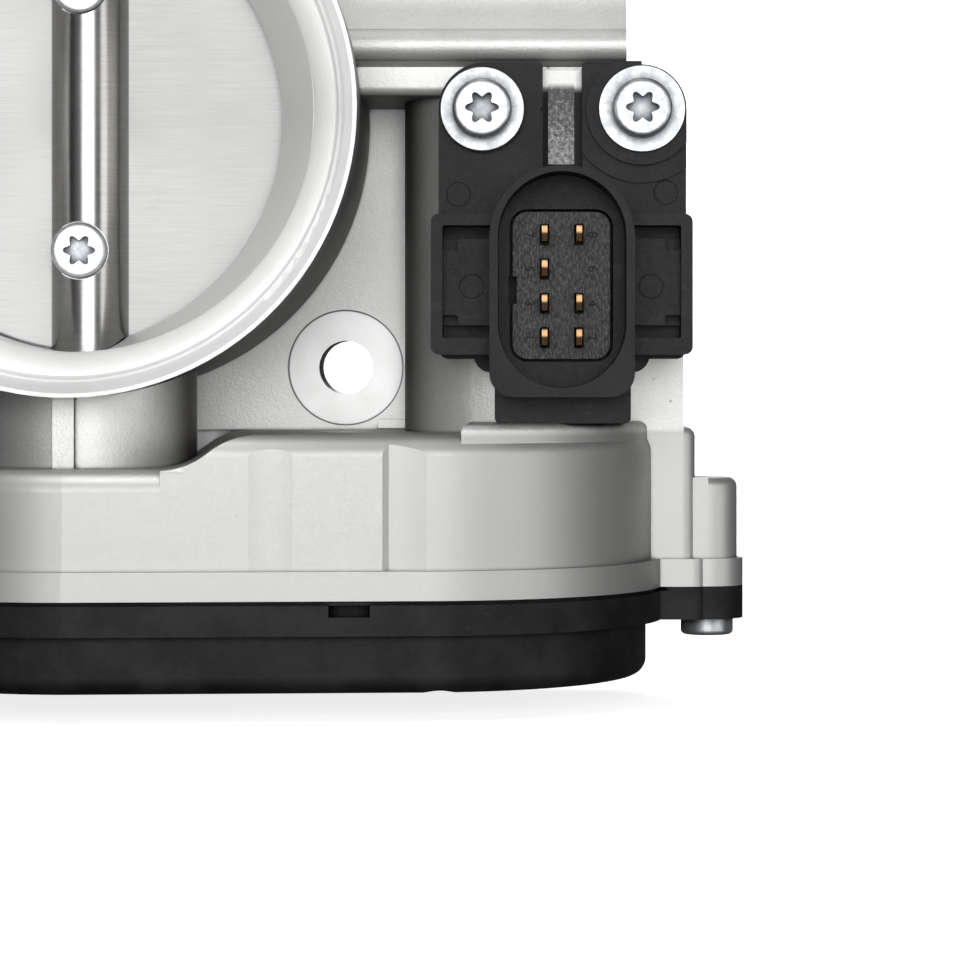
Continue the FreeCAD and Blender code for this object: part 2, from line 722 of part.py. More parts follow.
def idler_gear():
    small_low = size("idler_large_low") + size("idler_large_thick")
    small_phase = SHAFT_TO_IDLER + math.pi + math.pi / size("idler_small_teeth")
    large = gear((IDLER_X, IDLER_Y), size("idler_module"), int(size("idler_large_teeth")), IDLER_TO_MOTOR,
                 size("idler_large_low"), size("idler_large_thick"))
    small = gear((IDLER_X, IDLER_Y), size("sector_module"), int(size("idler_small_teeth")), small_phase,
                 small_low, size("idler_small_top") - small_low)
    whole = fuse("idler_whole", solid("idler_large", large), solid("idler_small", small))
    bore = cylinder("idler_gear_bore", "idler_pin_radius + running_gap", 30, IDLER_X, IDLER_Y,
                    "idler_large_low - 5")
    holes = []
    for i in range(6):
        angle = i * math.pi / 3
        x = IDLER_X + 15.0 * math.cos(angle)
        y = IDLER_Y + 15.0 * math.sin(angle)
        holes.append(cylinder(f"idler_hole_{i}", 4.6, 12, x, y, "idler_large_low - 4"))
    node("intermediate_gear", cut("idler_cut", whole, bore, *holes))
    node("intermediate_gear_pin", cylinder("idler_pin", "idler_pin_radius", 27.0, IDLER_X, IDLER_Y, -81.6))


def motor():
    can = cylinder("motor_can_body", "motor_radius", "motor_top - motor_low", "motor_x", "motor_y",
                   "motor_low")
    soft = rounded("motor_can_soft", can, "lip_out", lambda b: b.ZMin > size("motor_top") - 0.1)
    nose = cylinder("motor_nose", 5.0, 2.0, "motor_x", "motor_y", "motor_low - 1.6")
    flange = cylinder("motor_flange", "motor_radius + 1.0", 1.98, "motor_x", "motor_y", "motor_low")
    shaft_way = cylinder("motor_way", "motor_shaft_radius + running_gap", 40, "motor_x", "motor_y",
                         "motor_low - 5")
    tools = [shaft_way]
    for i, angle in enumerate(MOTOR_SCREW_ANGLES):
        x, y = motor_screw_place(angle)
        tools.append(cylinder(f"motor_ear_hole_{i}", 1.6, 4, x, y, "motor_low - 1"))
    ears = []
    for i, angle in enumerate(MOTOR_SCREW_ANGLES):
        x, y = motor_screw_place(angle)
        ears.append(cylinder(f"motor_ear_{i}", 3.4, 1.98, x, y, "motor_low"))
    node("drive_motor", cut("motor_cut", fuse("motor_whole", soft, nose, flange, *ears), *tools))
    node("motor_screws", group("motor_screw_set", [
        screw(f"motor_screw_{i}", *motor_screw_place(angle), size("motor_low"), "-Z", 2.6, 1.6, 1.5, 4.3)
        for i, angle in enumerate(MOTOR_SCREW_ANGLES)
    ]))
    phase = IDLER_TO_MOTOR + math.pi + math.pi / size("pinion_teeth")
    pinion = solid("pinion_blank", gear(MOTOR, size("idler_module"), int(size("pinion_teeth")), phase, -80.2, 6.2))
    hole = cylinder("pinion_bore", "motor_shaft_radius + clearance", 10, "motor_x", "motor_y", -82)
    node("motor_pinion", cut("pinion_cut", pinion, hole))
    node("motor_shaft", cylinder("rotor_shaft", "motor_shaft_radius", 48.0, "motor_x", "motor_y", -80.2))


MOTOR_SCREW_ANGLES = (190.0, 310.0)


def motor_screw_place(angle):
    reach = size("motor_radius") + 3.6
    turn = math.radians(angle)
    return size("motor_x") + reach * math.cos(turn), size("motor_y") + reach * math.sin(turn)


# ---------------------------------------------------------------- fasteners

def lobed_socket(radius, depth):
    """A six-lobed driver recess, pointing up from the origin."""
    points = []
    count = 48
    for i in range(count):
        turn = 2 * math.pi * i / count
        reach = radius * (0.82 + 0.18 * math.cos(6 * turn))
        points.append(vec(reach * math.cos(turn), reach * math.sin(turn)))
    curve = Part.BSplineCurve()
    curve.interpolate(Points=points, PeriodicFlag=True)
    face = Part.Face(Part.Wire([curve.toShape()]))
    return face.extrude(vec(0, 0, depth))


def screw(name, x, y, z, axis, head_radius, head_height, shank_radius, length, washer=0.0, washer_thick=0.0):
    """A six-lobed screw: z is the seat under its head, and axis is the way the head points."""
    parts = [Part.makeCylinder(shank_radius, length + 0.4, vec(0, 0, -length))]
    if washer:
        parts.append(Part.makeCylinder(washer, washer_thick))
    head = Part.makeCylinder(head_radius, head_height, vec(0, 0, washer_thick))
    top = [edge for edge in head.Edges if edge.BoundBox.ZMin > washer_thick + head_height - 0.01]
    head = head.makeFillet(min(0.7, head_height * 0.35), top)
    shape = parts[0].fuse(parts[1:] + [head]).removeSplitter()
    socket = lobed_socket(head_radius * 0.57, head_height)
    socket.translate(vec(0, 0, washer_thick + head_height * 0.3))
    item = solid(name, shape.cut(socket))
    item.Placement = FreeCAD.Placement(vec(x, y, z), TURN[axis])
    return item


# ---------------------------------------------------------------- throttle shaft and plate

def throttle():
    shaft = cylinder("shaft_rod", "shaft_radius", "shaft_top - shaft_low", 0, "shaft_y", "shaft_low")
    tilt = FreeCAD.Rotation(vec(0, 0, 1), size("plate_tilt"))
    facing = tilt.multiply(TURN["Y"])
    half = size("plate_thick") / 2
    middle = vec(0, size("shaft_y"), 0)
    disc = doc.addObject("PartDesign::Body", "plate_body")
    pad = disc.newObject("PartDesign::AdditiveCylinder", "plate_disc")
    bind(pad, Radius="plate_radius", Height="plate_thick")
    disc.Placement = FreeCAD.Placement(middle + tilt.multVec(vec(0, -half, 0)), facing)
    marks = []
    for i, z in enumerate((12.7, -11.6), start=1):
        outer = cylinder(f"mark_{i}", 2.0, 1.0)
        inner = cylinder(f"mark_inner_{i}", 1.8, 1.0)
        spot = FreeCAD.Placement(middle + tilt.multVec(vec(8.4, -half - 0.92, z)), facing)
        marks.append(cut(f"plate_mark_{i}", place(outer, spot), place(inner, spot)))
    plate_holes = []
    shaft_holes = []
    seats = []
    screws = []
    seat_height = 4.3
    for i, side in enumerate((1, -1), start=1):
        aside = size("plate_screw_aside")
        z = side * size("plate_screw_z")
        through = FreeCAD.Placement(middle + tilt.multVec(vec(aside, -9, z)), facing)
        plate_holes.append(place(cylinder(f"plate_hole_{i}", "1.5 + clearance", 18), through))
        shaft_holes.append(place(cylinder(f"shaft_hole_{i}", "1.5 + clearance", 13), through))
        above = FreeCAD.Placement(middle + tilt.multVec(vec(aside, -seat_height - 6, z)), facing)
        seats.append(place(cylinder(f"screw_seat_{i}", 4.35, 6), above))
        spot = middle + tilt.multVec(vec(aside, -seat_height, z))
        item = screw(f"plate_screw_{i}", 0, 0, 0, "-Y", 4.2, 2.0, 1.5, 7.8)
        item.Placement = FreeCAD.Placement(spot, tilt.multiply(TURN["-Y"]))
        screws.append(item)
    node("throttle_plate", cut("plate_cut", disc, *(marks + plate_holes)))
    slot = place(cylinder("plate_slot", "plate_radius + 0.01", "plate_thick + 0.01"),
                 FreeCAD.Placement(middle + tilt.multVec(vec(0, -half - 0.005, 0)), facing))
    node("throttle_shaft", cut("shaft_cut", shaft, slot, *(seats + shaft_holes)))
    node("plate_screws", group("plate_screw_set", screws))


def sleeve(name, outer, inner, width, low, y="shaft_y", x=0):
    """A plain ring on an upright axis, as a body with a pad and a through bore."""
    body = doc.addObject("PartDesign::Body", name)
    ring = body.newObject("PartDesign::AdditiveCylinder", name + "_ring")
    bind(ring, Radius=outer, Height=width)
    bore = body.newObject("PartDesign::SubtractiveCylinder", name + "_bore")
    bind(bore, Radius=inner, Height=width)
    bind(body, x=x, y=y, z=low)
    return body


def ball_bearing():
    low = size("bearing_low")
    centre_y = size("shaft_y")
    middle = low + size("bearing_width") / 2
    orbit = (size("bearing_radius") + size("shaft_radius")) / 2
    outer = sleeve("bearing_outer", "bearing_radius", "bearing_radius - 1.5", "bearing_width", "bearing_low")
    inner = sleeve("bearing_inner", "shaft_radius + 1.5", "shaft_radius + running_gap", "bearing_width",
                   "bearing_low")
    balls = []
    count = 8
    for i in range(count):
        turn = 2 * math.pi * i / count
        ball = doc.addObject("Part::Sphere", f"bearing_ball_{i}")
        bind(ball, Radius=1.6, x=orbit * math.cos(turn), y=centre_y + orbit * math.sin(turn), z=middle)
        balls.append(ball)
    shields = sleeve("bearing_shield", "bearing_radius - 1.45", "shaft_radius + 1.45", "bearing_width - 1.2",
                     "bearing_low + 0.6")
    node("lower_ball_bearing", fuse("bearing_whole", outer, inner, shields, *balls))


def bearings():
    ball_bearing()
    node("upper_needle_bearing", sleeve("needle_sleeve", "needle_radius", "shaft_radius + running_gap",
                                        "needle_width", "needle_low"))
    node("shaft_seal", sleeve("seal_ring", "seal_radius", "shaft_radius + running_gap", "seal_width",
                              "bearing_low + bearing_width + 0.5"))
    disc = cylinder("cap_disc", 9.0, 1.6, 0, "shaft_y", 51.0)
    skirt = sleeve("cap_skirt", 9.0, 7.8, 2.0, 49.2)
    node("upper_bearing_cap", fuse("cap_whole", disc, skirt))


def return_spring():
    """A round-wire coil round the sector's hub, with its top leg in the case and its low leg on the gear."""
    wire = 0.5
    coil = 10.2
    low = -65.8
    turns = 5.0
    pitch = 1.55
    helix = Part.makeHelix(pitch, pitch * turns, coil)
    profile = Part.Wire([Part.makeCircle(wire, vec(coil, 0, 0), vec(0, 1, 0))])
    path = Part.Wire(helix.Edges)
    spring = path.makePipeShell([profile], True, True)
    spring.translate(vec(0, size("shaft_y"), low))
    leg = Part.makeCylinder(wire, 3.0, vec(coil, size("shaft_y"), low + pitch * turns), vec(0, 0, 1))
    knee = Part.makeSphere(wire, vec(coil, size("shaft_y"), low + pitch * turns))
    node("return_spring", solid("spring_wire", spring.fuse([leg, knee])))


# ---------------------------------------------------------------- cover and its parts

def cover():
    rim_top = "case_bottom"
    rim = case_block("cover_rim", size("lip_out"), "case_bottom - cover_rim", "cover_rim - 0.6")
    body = case_block("cover_body", -size("cover_inset"), "cover_low", f"{rim_top} - cover_low - 2")
    soft = rounded("cover_body_soft", body, 2.5, lambda b: b.ZMax < size("cover_low") + 0.1)
    ears = []
    for i, (x, y) in enumerate(COVER_SCREWS[:EAR_COUNT], start=1):
        ears.append(cylinder(f"cover_ear_{i}", "ear_radius + 0.9", "cover_rim - 0.6", x, y,
                             "case_bottom - cover_rim"))
    spigot = case_block("cover_spigot", -size("case_wall") - 0.15, "case_bottom - 1", "2.4")
    rim_low = size("case_bottom") - size("cover_rim")
    ears.append(shoulder_rim("cover_shoulder", rim_low, size("case_bottom") - 0.6))
    ears.append(shoulder_rim("cover_shoulder_top", rim_low, size("case_bottom") - 0.02, 86.0))
    ears.append(cylinder("cover_ear_top", "ear_radius + 0.9", "cover_rim - 0.02", "ear_x", "ear_y",
                         "case_bottom - cover_rim"))
    whole = fuse("cover_outside", rim, soft, spigot, *ears)
    hollow = case_block("cover_hollow", -size("cover_inset") - size("cover_wall"), "cover_low + cover_wall",
                        "case_bottom - cover_low")
    upper_hollow = case_block("cover_mouth", -size("case_wall") - 1.6, "case_bottom - 4", "8")
    posts = []
    tools = []
    for i, (x, y) in enumerate(COVER_SCREWS):
        if i >= EAR_COUNT:
            posts.append(cylinder(f"cover_post_{i}", SCREW_BOSS_RADIUS[i], 20, x, y, "cover_low - 2"))
            tools.append(cylinder(f"cover_well_{i}", 3.4, "case_bottom - cover_low - cover_rim + 2", x, y,
                                  "cover_low - 2"))
            tools.append(cylinder(f"post_top_{i}", 4.4, 8, x, y, "case_bottom - 0.6"))
        else:
            tools.append(cylinder(f"ear_well_{i}", 4.5, "case_bottom - cover_low - cover_rim + 2", x, y,
                                  "cover_low - 2"))
        tools.append(cylinder(f"cover_hole_{i}", 1.6, 20, x, y, "cover_low - 2"))
    inside = cut("cover_inside", fuse("cover_hollows", hollow, upper_hollow), *posts)
    slot = box("cover_slot", 5.9, 6.2, 2.4, 37.7, "shaft_y - case_radius - lip_out - 1", -72.8)
    pin_seat = cylinder("pin_seat", "idler_pin_radius + clearance", 3, IDLER_X, IDLER_Y, -81.6)
    motor_seat = cylinder("cover_motor_way", 3.0, 4, "motor_x", "motor_y", -82.4)
    node("gear_cover", cut("cover_cut", whole, inside, slot, pin_seat, motor_seat, *tools))
    gasket_out = case_block("gasket_out", size("lip_out") - 0.6, "case_bottom - 0.6", 0.6)
    gasket_in = case_block("gasket_in", -size("case_wall") + 0.4, "case_bottom - 1", 2)
    ways = [cylinder(f"gasket_way_{i}", 2.0, 4, x, y, "case_bottom - 2") for i, (x, y) in enumerate(COVER_SCREWS)]
    node("cover_gasket", cut("gasket_cut", gasket_out, gasket_in, *ways))
    screws = []
    for i, (x, y) in enumerate(COVER_SCREWS):
        head = 4.0 if i < EAR_COUNT else 3.2
        screws.append(screw(f"cover_screw_{i}", x, y, rim_low, "-Z", head, 2.6, 1.5, 12.0))
    node("cover_screws", group("cover_screw_set", screws))


def electronics():
    """Sensor board on the cover's floor under the magnet, and the motor's two terminals."""
    magnet = cylinder("magnet", 3.2, 2.8, 0, "shaft_y", "sector_low - 1.35")
    node("sensor_magnet", magnet)
    floor = size("cover_low") + size("cover_wall")
    board = rounded_slab_level("board", -18.0, 3.0, -50.0, -16.0, 2.0, floor, floor + 1.6)
    chip = box("sensor_chip", 5.0, 4.4, 1.2, -2.5, -35.2, floor + 1.6)
    node("sensor_board", fuse("sensor_board_whole", board, chip))
    blades = [
        box(f"motor_terminal_{i}", 0.6, 3.0, 6.0, x, "motor_y + 8.6", "motor_low - 6.1")
        for i, x in enumerate((60.2, 67.2), start=1)
    ]
    node("motor_terminals", group("motor_terminal_set", blades))
    node("motor_wave_spring", sleeve("wave_spring", 11.0, 8.6, 0.7, "motor_top", "motor_y", "motor_x"))
    node("stop_screw", stop_screw())


def stop_screw():
    """The closed stop: a set screw through the case's front wall."""
    rod = cylinder("stop_rod", 2.0, 8.0, -14.0, -62.6, -62.0, "Y")
    head = lobed_socket(1.3, 2.0)
    head.rotate(vec(0, 0, 0), vec(1, 0, 0), -90)
    head.translate(vec(-14.0, -62.7, -62.0))
    return cut("stop_cut", rod, solid("stop_socket", head))


# ---------------------------------------------------------------- plug socket

def plug_ring(half_width, top, bottom, corner):
    """Closed outline in X-Z with a round top and rounded lower corners."""
    middle = size("plug_x")
    left = middle - half_width
    right = middle + half_width
    spring_line = top - half_width
    k = corner * (1 - math.sqrt(0.5))
    edges = [
        Part.Arc(vec(left, 0, spring_line), vec(middle, 0, top), vec(right, 0, spring_line)),
        Part.LineSegment(vec(right, 0, spring_line), vec(right, 0, bottom + corner)),
    ]
    if corner >= half_width:
        edges.append(Part.Arc(vec(right, 0, bottom + corner), vec(middle, 0, bottom), vec(left, 0, bottom + corner)))
    else:
        edges += [
            Part.Arc(vec(right, 0, bottom + corner), vec(right - k, 0, bottom + k), vec(right - corner, 0, bottom)),
            Part.LineSegment(vec(right - corner, 0, bottom), vec(left + corner, 0, bottom)),
            Part.Arc(vec(left + corner, 0, bottom), vec(left + k, 0, bottom + k), vec(left, 0, bottom + corner)),
        ]
    edges.append(Part.LineSegment(vec(left, 0, bottom + corner), vec(left, 0, spring_line)))
    return Part.Wire([edge.toShape() for edge in edges])


def plug_block(name, half_width, top, bottom, corner, front, back):
    face = Part.Face(plug_ring(half_width, top, bottom, corner))
    face.translate(vec(0, front, 0))
    return solid(name, face.extrude(vec(0, back - front, 0)))


def screw_plate(plate_front, back):
    """The plate behind the socket: two ears with a slot between them, rounded about the screws."""
    left = size("plug_plate_left")
    right = size("plug_plate_right")
    top = size("plug_plate_top")
    ear_z = size("ear_screw_z")
    ear_left = size("ear_screw_left")
    ear_right = size("ear_screw_right")
    pieces = [
        cylinder("ear_left", 7.0, "plug_plate", "plug_plate_left + 7", "plug_back - plug_plate",
                 "plug_plate_top - 7", "Y"),
        cylinder("ear_right", "plug_plate_right - ear_screw_right", "plug_plate", "ear_screw_right",
                 "plug_back - plug_plate", "ear_screw_z", "Y"),
        rounded_slab("ear_left_top", ear_left, 68.2, ear_z, top, 0.6, plate_front, back),
        rounded_slab("ear_right_top", 74.0, ear_right, ear_z, top, 0.6, plate_front, back),
        rounded_slab("ear_left_body", left, 68.2, -24.0, ear_z, 0.1, plate_front, back),
        rounded_slab("ear_right_body", 74.0, right, -24.0, ear_z, 0.1, plate_front, back),
        rounded_slab("lower_plate", left, right, -36.0, -16.0, 1.5, plate_front, back),
        rounded_slab("plate_root", 58.0, 84.0, -38.0, -20.0, 2.6, plate_front, back),
        cylinder("ear_pad_left", 6.3, 1.0, "ear_screw_left", "plug_back - plug_plate - 1", "ear_screw_z", "Y"),
    ]
    limit = fuse(
        "pad_limit",
        rounded_slab("pad_limit_low", 74.0, right, -12.0, ear_z, 0.1, plate_front - 4.0, back),
        rounded_slab("pad_limit_top", 74.0, ear_right, ear_z - 1.0, top, 0.1, plate_front - 4.0, back),
        cylinder("pad_limit_round", "plug_plate_right - ear_screw_right", 8.0, "ear_screw_right",
                 "plug_back - plug_plate - 4", "ear_screw_z", "Y"),
    )
    for name, radius, height in (("pad_high", 8.2, 1.6), ("pad_low", 10.8, 0.6)):
        disc = cylinder(name, radius, height + 1.0, "ear_screw_right", f"plug_back - plug_plate - {height}",
                        "ear_screw_z", "Y")
        pieces.append(common(name + "_right", disc, limit))
    return pieces


def wing(name, outer, inner, plate_front):
    """A side wing: a box open to the front, with deep slots at its upper and lower corners."""
    wall = 1.7
    left = min(outer, inner)
    right = max(outer, inner)
    block = rounded_slab("wing_" + name, left, right, -35.4, -14.9, 1.2, -51.8, plate_front + 0.5)
    side = 1 if inner > outer else -1
    near = outer + side * wall
    notch = outer + side * (wall + 2.2)
    far = inner - side * 0.8

    def pocket(label, first, last, low, high, depth):
        return rounded_slab(f"{label}_{name}", min(first, last), max(first, last), low, high, 0.35, -53.0, depth)

    tools = [
        pocket("wing_pocket", near, far, -33.0, -16.6, -49.4),
        pocket("wing_slot_top", near, far, -18.5, -16.6, -44.6),
        pocket("wing_slot_low", near, far, -33.0, -31.1, -44.6),
        pocket("wing_notch_top", near, notch, -20.2, -16.6, -46.5),
        pocket("wing_notch_low", near, notch, -33.0, -29.6, -46.5),
    ]
    return block, tools


def plug():
    back = size("plug_back")
    plate_front = back - size("plug_plate")
    front = size("plug_front")
    half = size("plug_half_width")
    top = size("plug_top")
    bottom = size("plug_bottom")
    ear_z = size("ear_screw_z")
    shroud = plug_block("shroud", half, top, bottom, 3.4, front, back)
    leg = rounded_slab("leg", 61.2, 81.0, size("pad_top"), -38.0, 0.8, -51.6, -40.0)
    spigot = rounded_slab_level("spigot", 63.2, 70.4, -49.8, -42.2, 2.1, -52.0, -44.0)
    left_wing, left_tools = wing("left", 51.9, 62.0, plate_front)
    right_wing, right_tools = wing("right", 90.0, 80.0, plate_front)
    base = fuse("plug_base", *screw_plate(plate_front, back))
    outside = join_in_turn("plug_outside", "Part::Fuse", base, [left_wing, right_wing, shroud, leg, spigot])

    wall = size("plug_wall")
    inner = half - wall
    cavity = plug_block("plug_cavity", inner, top - wall + 0.3, bottom + wall + 0.1, inner, front - 1,
                        size("plug_floor"))
    island = (63.8, 78.0, -36.0, -14.6)
    groove_out = rounded_slab("groove_out", island[0] - 0.45, island[1] + 0.45, island[2] - 0.45, island[3] + 0.45,
                              2.6, front, -44.5)
    groove_in = rounded_slab("groove_in", *island, 2.2, front - 1, -44.0)
    key = box("plug_key", 1.2, 8.0, 4.0, 63.2, -52.0, -28.0)
    groove = cut("plug_groove", groove_out, groove_in)
    face = rounded_slab("island_face", *island, 2.2, size("plug_island"), size("plug_floor") + 0.5)
    tools = [cut("plug_cavity_cut", cavity, face), common("groove_depth", groove, cavity_depth(inner, top, bottom)),
             key]
    for side in ("left", "right"):
        tools.append(cylinder(f"sleeve_hole_{side}", "3.6 + clearance", "plug_plate + 4", f"ear_screw_{side}",
                              "plug_back - plug_plate - 3", "ear_screw_z", "Y"))
    for name, x, z in pin_places():
        tools.append(box("way_" + name, "pin_thick + 0.6", 6.0, "pin_wide + 0.2", x - size("pin_thick") / 2 - 0.3,
                         -52.0, z - size("pin_wide") / 2 - 0.1))
        tools.append(box("pin_hole_" + name, "pin_thick + 2 * clearance", 14.0, "pin_wide + 2 * clearance",
                         x - size("pin_thick") / 2 - size("clearance"), -52.0,
                         z - size("pin_wide") / 2 - size("clearance")))
    groups = [left_tools + right_tools, tools]
    cutters = [fuse(f"plug_cutters_{i}", *members) for i, members in enumerate(groups, start=1)]
    node("connector_housing", join_in_turn("plug_cut", "Part::Cut", outside, cutters))
    pins = [
        rounded("soft_" + name, box(name, "pin_thick", 15.4, "pin_wide", x - size("pin_thick") / 2, "pin_tip",
                                    z - size("pin_wide") / 2), 0.3,
                lambda b: b.YMax < size("pin_tip") + 0.01 and b.XLength > 0.1)
        for name, x, z in pin_places()
    ]
    node("connector_pins", group("pin_set", pins))
    sleeves = []
    screws = []
    for side, height, washer in (("left", 1.0, 6.1), ("right", 1.6, 6.3)):
        x = size(f"ear_screw_{side}")
        ring = cylinder(f"sleeve_{side}", 3.6, size("plug_plate") + height, x, plate_front - height, ear_z, "Y")
        bore = cylinder(f"sleeve_bore_{side}", 2.7, 20, x, plate_front - 10, ear_z, "Y")
        sleeves.append(cut(f"sleeve_cut_{side}", ring, bore))
        screws.append(screw(f"plug_screw_{side}", x, plate_front - height, ear_z, "-Y", 4.35, 3.0, 2.0, 16.0,
                            washer, 1.2))
    node("connector_sleeves", group("sleeve_set", sleeves))
    node("connector_screws", group("plug_screw_set", screws))
    ring = rounded_slab_level("seal_out", 61.6, 72.0, -51.4, -40.6, 3.0, -46.4, -45.41)
    hole = rounded_slab_level("seal_in", 63.18, 70.42, -49.82, -42.18, 2.1, -47.0, -45.0)
    node("connector_seal", cut("seal_cut", ring, hole))


def cavity_depth(inner, top, bottom):
    wall = size("plug_wall")
    return plug_block("groove_limit", inner, top - wall + 0.3, bottom + wall + 0.1, inner,
                      size("plug_floor") - 2.0, -44.5)


def pin_places():
    top = size("pin_top_z")
    pitch = size("pin_pitch")
    columns = (68.45, 73.45)
    empty = (1, 1)
    places = []
    for row in range(4):
        for side, x in enumerate(columns):
            if (row, side) != empty:
                places.append((f"pin_{row}_{side}", x, top - row * pitch))
    return places


casting()
throttle()
bearings()
sector_gear()
return_spring()
idler_gear()
motor()
cover()
electronics()
plug()
doc.recompute()

for item in doc.Objects:
    wrong = [word for word in ("Invalid", "Error") if word in item.State]
    if wrong:
        raise SystemExit(f"{item.Name} ({item.Label}) is {wrong}")

os.makedirs("parts", exist_ok=True)
for item in NODES:
    if item.Shape.isNull() or not item.Shape.isValid():
        raise SystemExit(f"{item.Label} is empty or not valid")
    item.Shape.exportStep(f"parts/{item.Label}.step")
    print(item.Label, len(item.Shape.Solids), round(item.Shape.Volume, 1))
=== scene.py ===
"""Looks for the electronic throttle body: materials, small moulded details, light and camera."""

import json
import math

import bpy
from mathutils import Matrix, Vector


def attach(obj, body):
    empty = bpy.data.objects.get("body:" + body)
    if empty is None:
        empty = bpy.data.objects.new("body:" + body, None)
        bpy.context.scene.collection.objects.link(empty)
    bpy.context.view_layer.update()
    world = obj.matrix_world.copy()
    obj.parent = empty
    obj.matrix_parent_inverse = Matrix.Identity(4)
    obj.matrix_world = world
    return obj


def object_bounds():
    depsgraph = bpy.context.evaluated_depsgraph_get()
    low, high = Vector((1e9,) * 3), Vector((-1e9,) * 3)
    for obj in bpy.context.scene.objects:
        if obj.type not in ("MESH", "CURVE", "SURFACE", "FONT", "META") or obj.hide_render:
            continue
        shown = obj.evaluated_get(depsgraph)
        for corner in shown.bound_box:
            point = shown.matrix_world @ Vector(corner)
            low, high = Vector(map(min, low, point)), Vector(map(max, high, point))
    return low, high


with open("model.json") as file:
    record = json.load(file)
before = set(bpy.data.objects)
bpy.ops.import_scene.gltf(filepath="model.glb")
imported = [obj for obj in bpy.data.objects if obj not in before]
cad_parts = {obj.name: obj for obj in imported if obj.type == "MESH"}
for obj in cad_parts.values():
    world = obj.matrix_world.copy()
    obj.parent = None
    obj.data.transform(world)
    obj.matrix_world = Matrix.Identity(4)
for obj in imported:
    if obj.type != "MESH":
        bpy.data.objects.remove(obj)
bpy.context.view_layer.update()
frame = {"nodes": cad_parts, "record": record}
NODES = frame["nodes"]
MM = 0.001

# The camera, in millimetres and in the camera's own units.
CAMERA_PLACE = (67.2, -540.0, -37.2)
CAMERA_LENS = 126.0
CAMERA_SENSOR = 36.0
CAMERA_SHIFT = (-0.0583, -0.1177)

# The point the lamps face, in metres, and the studio's greys from its far side to the camera's side.
LIGHT_TARGET = (0.03, -0.03, -0.02)
STUDIO_GREYS = ((0.0, 0.20), (0.30, 0.08), (0.58, 0.018), (0.82, 0.05), (1.0, 0.70))
STUDIO_STRENGTH = 0.6

# Where the casting's surfaces change, and where its painted shade begins, in millimetres: the turned zone
# ends just inside the collar's edge.
TURNED_RADIUS = 41.0
PAINTED_SHADE_RADIUS = 40.7
BOLT_OFFSET = 37.3
SPOT_RADIUS = 9.0
SPOT_LINE = (8.87, 9.10)
FLANGE_FRONT_Y = -12.9
REAR_Y = -0.2
MOUTH_Y = -52.0
RIM_Y = -59.35
LOW_CASE_Z = -52.1
HIGH_CASE_Z = -47.0
HIGH_CASE_X = 16.75

# The rib and the hollow behind the plug's two ears, in millimetres.
HOLLOW_X = (66.5, 74.6)
HOLLOW_BOTTOM_Z = -8.8
HOLLOW_TOP_Z = 4.2
HOLLOW_Y = -37.3
RIB_FACE_Y = -45.4

# The plug's island and blades, in millimetres.
ISLAND_Y = (-50.45, -49.55)
ISLAND_X = (63.8, 78.0)
DIGIT_FACE_Y = -49.93
DIGIT_X = (66.2, 75.4)
DIGIT_SIZE = 1.9
DIGIT_RAISE = 0.05
BLADE_ROWS_Z = (-17.9, -22.9, -27.9, -32.9)
BLADE_PITCH = 5.0
BLADE_NUMBERS = (("7", "8"), ("5", "6"), ("3", "4"), ("1", "2"))

# Round ejector marks, in millimetres.
PLATE_MARK_Y = -43.5
WING_MARK_Y = -49.4
PLATE_MARKS = ((55.75, -11.65), (86.4, -11.4))
WING_MARKS = ((57.8, -25.4), (84.0, -25.4))
MARK_RADIUS = 1.75
MARK_WIRE = 0.10

# Grain: how many cells of noise stand in a metre.
FINE = 2600.0
MIDDLE = 1500.0
COARSE = 700.0

# Colours used more than once.
NEAR_BLACK = (0.004, 0.004, 0.004)
# The two browns below are painted shade: on recessed walls, and in creases, where the second also draws the
# line round each spot face.
PAINTED_SHADE_BROWN = (0.080, 0.072, 0.065)
CREASE_SHADE_AND_LINE_BROWN = (0.03, 0.028, 0.025)


# ---------------------------------------------------------------- camera, light and floor

def look_at(item, target):
    item.rotation_euler = (Vector(target) - item.location).to_track_quat("-Z", "Y").to_euler()


def add_camera():
    data = bpy.data.cameras.new("camera")
    data.lens = CAMERA_LENS
    data.sensor_width = CAMERA_SENSOR
    data.shift_x, data.shift_y = CAMERA_SHIFT
    data.clip_start = 0.01
    data.dof.use_dof = False
    camera = bpy.data.objects.new("camera", data)
    camera.location = [value * MM for value in CAMERA_PLACE]
    camera.rotation_euler = (math.pi / 2, 0.0, 0.0)
    bpy.context.scene.collection.objects.link(camera)
    bpy.context.scene.camera = camera
    bpy.context.scene.view_settings.view_transform = "Standard"


def add_area(name, place, target, size, power, size_y=None):
    data = bpy.data.lights.new(name, "AREA")
    data.energy = power
    data.shape = "RECTANGLE"
    data.size = size
    data.size_y = size_y or size
    light = bpy.data.objects.new(name, data)
    light.location = place
    look_at(light, target)
    bpy.context.scene.collection.objects.link(light)
    return light


